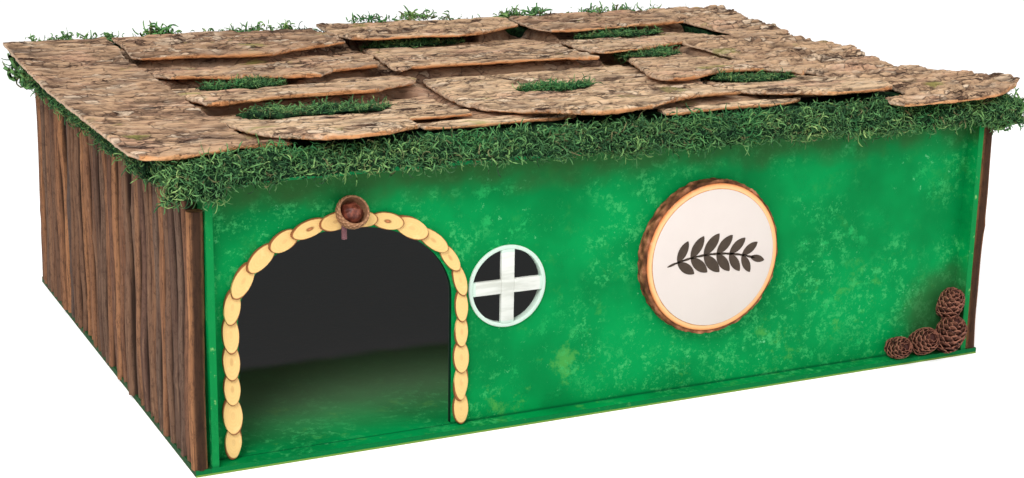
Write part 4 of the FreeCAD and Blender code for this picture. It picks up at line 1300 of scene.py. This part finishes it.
def strand(chance, radius):
    """A curly strand one unit long that grows up from the origin and thins to its tip."""
    bm = bmesh.new()
    bmesh.ops.create_circle(bm, cap_ends=True, segments=strand_sides, radius=radius)
    end = bm.faces[:][0]
    heading = Vector((0, 0, 1))
    hinge = Vector((chance.gauss(0, 1), chance.gauss(0, 1), 0.4 * chance.gauss(0, 1)))
    curl = chance.uniform(0.35, 1.2)
    for joint in range(strand_joints):
        grown = bmesh.ops.extrude_face_region(bm, geom=[end])["geom"]
        verts = [item for item in grown if isinstance(item, bmesh.types.BMVert)]
        end = [item for item in grown if isinstance(item, bmesh.types.BMFace)][0]
        hinge += 0.5 * Vector((chance.gauss(0, 1), chance.gauss(0, 1), chance.gauss(0, 1)))
        heading = Matrix.Rotation(curl, 3, hinge.normalized()) @ heading
        bmesh.ops.translate(bm, verts=verts, vec=heading / strand_joints)
        middle = sum((vert.co for vert in verts), Vector()) / strand_sides
        thin = 0.4 if joint == strand_joints - 1 else 0.95
        bmesh.ops.scale(bm, verts=verts, vec=(thin,) * 3, space=Matrix.Translation(-middle))
    bmesh.ops.recalc_face_normals(bm, faces=bm.faces)
    return as_mesh(bm)


strand_shapes = [strand(random.Random(seed), strand_radius) for seed in range(strand_kinds)]
strand_points = [coordinates(mesh) for mesh in strand_shapes]
sprout_points = [coordinates(strand(random.Random(seed), sprout_radius))
                 for seed in range(strand_kinds)]
print("a strand has", len(strand_shapes[0].polygons), "faces")


# %% Strewing strands over a bed
# Vector noise starts from the clock unless it gets a seed, and the locks of moss follow it
comb_seed = 1
noise.seed_set(comb_seed)


def spots_on(mesh, count, chance, allowed):
    """Random places on a mesh and their normals, spread by area, where allowed says yes."""
    mesh.calc_loop_triangles()
    points = coordinates(mesh)
    corners = np.zeros(len(mesh.loop_triangles) * 3, np.int32)
    mesh.loop_triangles.foreach_get("vertices", corners)
    a, b, c = (points[corners.reshape(-1, 3)[:, corner]] for corner in range(3))
    cross = np.cross(b - a, c - a)
    area = np.linalg.norm(cross, axis=1)
    normal = cross / np.maximum(area, 1e-12)[:, None]
    open_to_air = allowed((a + b + c) / 3, normal)
    weight = area * open_to_air
    chosen = chance.choice(len(area), size=count, p=weight / weight.sum())
    u, v = chance.random((2, count))
    flip = u + v > 1
    u, v = np.where(flip, 1 - u, u), np.where(flip, 1 - v, v)
    spot = (a[chosen] + u[:, None] * (b - a)[chosen] + v[:, None] * (c - a)[chosen])
    return spot, normal[chosen]


def is_free(line):
    """True if no leg of a strand's middle line meets the bark."""
    for here, there in zip(line, line[1:]):
        leg = there - here
        if shelter.ray_cast(here, leg, leg.length)[0] is not None:
            return False
    return True


def strands_at(name, spots, normals, seed, length, lift, fall, shapes=strand_points, palest=0.0):
    """A piece of strands that grow at the spots, combed in locks and lying more than standing."""
    chance = np.random.default_rng(seed)
    work = strand_shapes[0].copy()
    tuft = bmesh.new()
    tones = []
    for spot, normal in zip(spots, normals):
        comb = noise.noise_vector(Vector(spot) * 70)
        wish = Vector(chance.normal(size=3)) * 0.7 + comb
        upward = Vector(normal)
        sideways = (wish - upward * wish.dot(upward)).normalized()
        rise = lift * (0.3 + 1.4 * chance.random())
        way = sideways + rise * upward - Vector((0, 0, fall * chance.random()))
        reach = length * (0.5 + 1.0 * chance.random() ** 1.5)
        turn = way.to_track_quat("Z", "Y").to_matrix() @ Matrix.Rotation(
            chance.uniform(0, 2 * math.pi), 3, "Z")
        shape = shapes[chance.integers(len(shapes))]
        root = Vector(spot) + upward * 0.3 * millimetre
        moved = shape * reach @ np.array(turn).T + np.array(root)
        joints = moved.reshape(-1, strand_sides, 3).mean(axis=1)
        if not is_free([Vector(joint) for joint in joints]):
            continue
        work.vertices.foreach_set("co", moved.astype(np.float32).ravel())
        tuft.from_mesh(work)
        tones += [palest + (1 - palest) * chance.random()] * len(shape)
    bpy.data.meshes.remove(work)
    mesh = as_mesh(tuft)
    store(mesh, "tone", tones)
    return piece_of(name, mesh, "roof", moss)


# %% [markdown]
# The bed is nearly black-green, because little light reaches it. The strands run from deep
# green to a pale grey-green, each with its own tone. Some patches took more of the green dye,
# and a few strands have dried to brown.

# %% Moss colours
moss_bed = Finish("moss_bed", roughness=0.95, shine=0.05)
tangle = moss_bed.cloud(300.0, detail=6.0, roughness=0.7)
moss_bed.set(Base_Color=moss_bed.mix(screen(20, 38, 26), screen(52, 94, 54),
                                     moss_bed.step(tangle, 0.42, 0.7)))
moss_bed.bump(tangle, 2.0 * millimetre)

moss = Finish("moss_strands", roughness=0.7, shine=0.12)
tone = moss.attribute("tone")
clump = moss.cloud(34.0, detail=3.0)
mossy = moss.ramp(tone * 0.8 + (clump - 0.5) * 0.9 + 0.08,
                  (0.0, screen(40, 72, 48)), (0.3, screen(70, 116, 72)),
                  (0.55, screen(96, 146, 90)), (0.8, screen(124, 168, 100)),
                  (1.0, screen(164, 192, 118)))
dyed = moss.step(moss.cloud(22.0, detail=2.0), 0.54, 0.66)
mossy = moss.mix(mossy, screen(38, 136, 72), dyed * 0.35)
dried = moss.step(tone, 0.46, 0.47) * (1.0 - moss.step(tone, 0.51, 0.52))
mossy = moss.mix(mossy, screen(134, 116, 84), dried * 0.7)
moss.set(Base_Color=mossy)


# %% Beds and strands along the eaves
bed_voxel = 2.6 * millimetre
batch = 4500


def hang_share(x, y):
    """How much of the fringe's hanging part the bed fills at a place: the strands end it."""
    wave = (0.22 * noise.noise(Vector((x * 20, y * 20, 5)))
            + 0.18 * noise.noise(Vector((x * 62, y * 62, 8))))
    front = 0.06 + 0.22 * float(smooth_rise(x, -0.25, 0.10))
    if x < -wall_outer + 8 * millimetre:
        front = 0.42
    return max(0.0, (front if y < front_rim + 30 * millimetre else 0.32) + wave)


def lumpy_bed(node, shrink):
    """The bed of moss in place of its construction solid, a little inside it and lumpy."""
    skin = remeshed(welded(node), bed_voxel)
    points = coordinates(skin)
    normals = coordinates(skin, "normal")
    hanging = np.minimum(points[:, 2] - roof_level, 0)
    share = np.array([hang_share(x, y) for x, y, z in points])
    points[:, 2] -= hanging * (1 - share)
    moved = points.copy()
    for index, (x, y, z) in enumerate(points):
        place = Vector((x, y, z))
        lump = 3.0 * noise.noise(place * 50) + 1.4 * noise.noise(place * 130)
        moved[index] += normals[index] * (lump - shrink) * millimetre
    move_points(skin, moved)
    return skin


def eave(node, count, seed, allowed, length=8 * millimetre):
    """One eave's moss: the bed, and its strands in as many pieces as the count needs."""
    bed = lumpy_bed(node, 2.2)
    piece_of(node + "_bed", bed, "roof", moss_bed, [node])
    chance = np.random.default_rng(seed)
    spots, normals = spots_on(bed, count, chance, allowed)
    order = np.argsort(spots[:, 0])
    spots, normals = spots[order], normals[order]
    for part, start in enumerate(range(0, count, batch)):
        piece = strands_at(f"{node}_strands_{part + 1}", spots[start:start + batch],
                           normals[start:start + batch], seed + part, length, 0.22, 0.12)
        print(piece.name, len(piece.data.polygons), "faces")


rim_back = 8 * millimetre
eave("moss_front", 12500, 21,
     lambda at, normal: (at[:, 1] < front_rim + rim_back) & (normal[:, 1] < 0.4))
eave("moss_rear", 3800, 22,
     lambda at, normal: (at[:, 1] > rear_rim - rim_back) & (normal[:, 1] > -0.4))
eave("moss_left", 4800, 23,
     lambda at, normal: (at[:, 0] < -wall_outer + rim_back) & (normal[:, 0] < 0.4), 7 * millimetre)
eave("moss_right", 3000, 24,
     lambda at, normal: (at[:, 0] > wall_outer - rim_back) & (normal[:, 0] > -0.4), 5 * millimetre)

# %% [markdown]
# Fresh sprouts stand up behind the rear bark and curl out at two corners. Each is a small heap
# of strands that grow upward or outward from a place at the edge of the roof.

# %% Sprouts
# Each sprout: its place across the roof and along it, as shares of the half width and of the
# half depth, then its height over the roof board and its spread in millimetres, its number of
# strands, and their length in millimetres
SPROUTS = [(-1.02, 1.00, 14, 3, 20, 8), (-0.95, 1.00, 14, 5, 40, 7), (-0.875, 1.00, 14, 3, 18, 7),
           (-0.815, 1.00, 13, 3, 110, 6), (-0.68, 1.00, 15, 7, 110, 10), (-0.53, 1.00, 13, 2, 16, 9),
           (-0.38, 1.00, 13, 12, 120, 7), (-0.29, 1.00, 14, 4, 36, 8), (-0.03, 1.00, 17, 9, 90, 7),
           (0.12, 1.00, 17, 10, 110, 8), (0.23, 1.00, 14, 6, 50, 7), (0.44, 1.00, 14, 10, 120, 8),
           (0.54, 1.00, 15, 5, 50, 9), (0.72, 1.00, 14, 10, 110, 7), (0.83, 1.00, 14, 8, 90, 7),
           (0.95, 1.00, 14, 5, 24, 6), (-1.08, 0.78, -2, 5, 30, 18), (1.09, -0.98, 0, 7, 60, 16),
           (1.03, -1.00, -9, 4, 90, 9)]
for number, (u, v, level, spread, count, length) in enumerate(SPROUTS):
    chance = np.random.default_rng(80 + number)
    middle = np.array((u * wall_outer, v * rear_rim, roof_level + level * millimetre))
    spots = middle + chance.normal(size=(count, 3)) * np.array((spread, 2.5, 1.5)) * millimetre
    outward = np.array((u * 0.5 if abs(u) > 1 else 0.0, 0.0, 1.0))
    normals = outward + 0.5 * chance.normal(size=(count, 3))
    normals /= np.linalg.norm(normals, axis=1)[:, None]
    strands_at(f"sprout_{number + 1}", spots, normals, 60 + number, length * millimetre, 0.6, 0.0,
               sprout_points, 0.45)

# %% Tufts between the bark
strands_in_tuft = 1000
tufts = sorted(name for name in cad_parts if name.startswith("moss_tuft"))
for number, node in enumerate(tufts):
    bed = lumpy_bed(node, 1.0)
    piece_of(node + "_bed", bed, "roof", moss_bed, [node])
    chance = np.random.default_rng(40 + number)
    spots, normals = spots_on(bed, strands_in_tuft, chance,
                              lambda at, normal: normal[:, 2] > -0.1)
    strands_at(node + "_strands", spots, normals, 50 + number, 6 * millimetre, 0.2, 0.0)

# %% [markdown]
# ## Floor, light and camera
# The house stands on a pale floor in soft light from all sides, with a large lamp in front and
# above on the left, a weaker one on the right and a third for the twigs. The camera repeats the
# viewing angle of the picture: its place and its turns are measured from the straight edges of
# the house.

# %% The floor
floor_finish = Finish("floor", roughness=0.9, Emission_Strength=1.0,
                      Base_Color=(0.88, 0.88, 0.88, 1.0))
glow = 0.45
direct = floor_finish.node("LightPath", output="Is Camera Ray")
floor_finish.set(Emission_Color=floor_finish.mix((0.0, 0.0, 0.0, 1.0), (glow, glow, glow, 1.0),
                                                 direct))
bm = bmesh.new()
bmesh.ops.create_grid(bm, x_segments=1, y_segments=1, size=12)
floor = bpy.data.objects.new("floor", as_mesh(bm, "floor"))
floor.data.materials.append(floor_finish.material)
bpy.context.scene.collection.objects.link(floor)

# %% The light
world = bpy.data.worlds.new("studio")
world.use_nodes = True
bpy.context.scene.world = world
studio = world.node_tree
background = studio.nodes["Background"]
path = studio.nodes.new("ShaderNodeLightPath")
level = studio.nodes.new("ShaderNodeMapRange")
sky_level = 0.62
studio.links.new(path.outputs["Is Camera Ray"], level.inputs["Value"])
level.inputs["To Min"].default_value = sky_level
level.inputs["To Max"].default_value = 1.0
studio.links.new(level.outputs["Result"], background.inputs["Strength"])
background.inputs["Color"].default_value = (1.0, 1.0, 1.0, 1.0)


def lamp(name, place, aim, size, power):
    """A square lamp at a place, aimed at a point."""
    data = bpy.data.lights.new(name, "AREA")
    data.size = size
    data.energy = power
    made = bpy.data.objects.new(name, data)
    made.location = place
    made.rotation_euler = (Vector(aim) - Vector(place)).to_track_quat("-Z", "Y").to_euler()
    bpy.context.scene.collection.objects.link(made)


lamp("key", (-1.1, -1.3, 1.5), (0, -0.1, 0.1), 0.9, 29)
lamp("fill", (1.6, -1.4, 1.0), (0, -0.1, 0.1), 1.4, 13)
lamp("side", (-2.0, -0.9, 0.8), (-0.2, 0, 0.1), 1.0, 5)

# %% The camera
camera_place = Vector((-0.5224, -1.1099, 0.3889))
camera_turn = math.radians(26.05)
camera_down = math.radians(15.11)
camera_roll = math.radians(-0.97)
sensor_width = 36.0
camera_lens = 62.5

forward = Vector((math.sin(camera_turn) * math.cos(camera_down),
                  math.cos(camera_turn) * math.cos(camera_down), -math.sin(camera_down)))
level_right = forward.cross(Vector((0, 0, 1))).normalized()
level_down = forward.cross(level_right)
right = math.cos(camera_roll) * level_right + math.sin(camera_roll) * level_down
down = math.cos(camera_roll) * level_down - math.sin(camera_roll) * level_right
data = bpy.data.cameras.new("camera")
data.lens = camera_lens
data.sensor_width = sensor_width
camera = bpy.data.objects.new("camera", data)
camera.matrix_world = (Matrix.Translation(camera_place)
                       @ Matrix((right, -down, -forward)).transposed().to_4x4())
bpy.context.scene.collection.objects.link(camera)
bpy.context.scene.camera = camera
bpy.context.scene.view_settings.view_transform = "Standard"
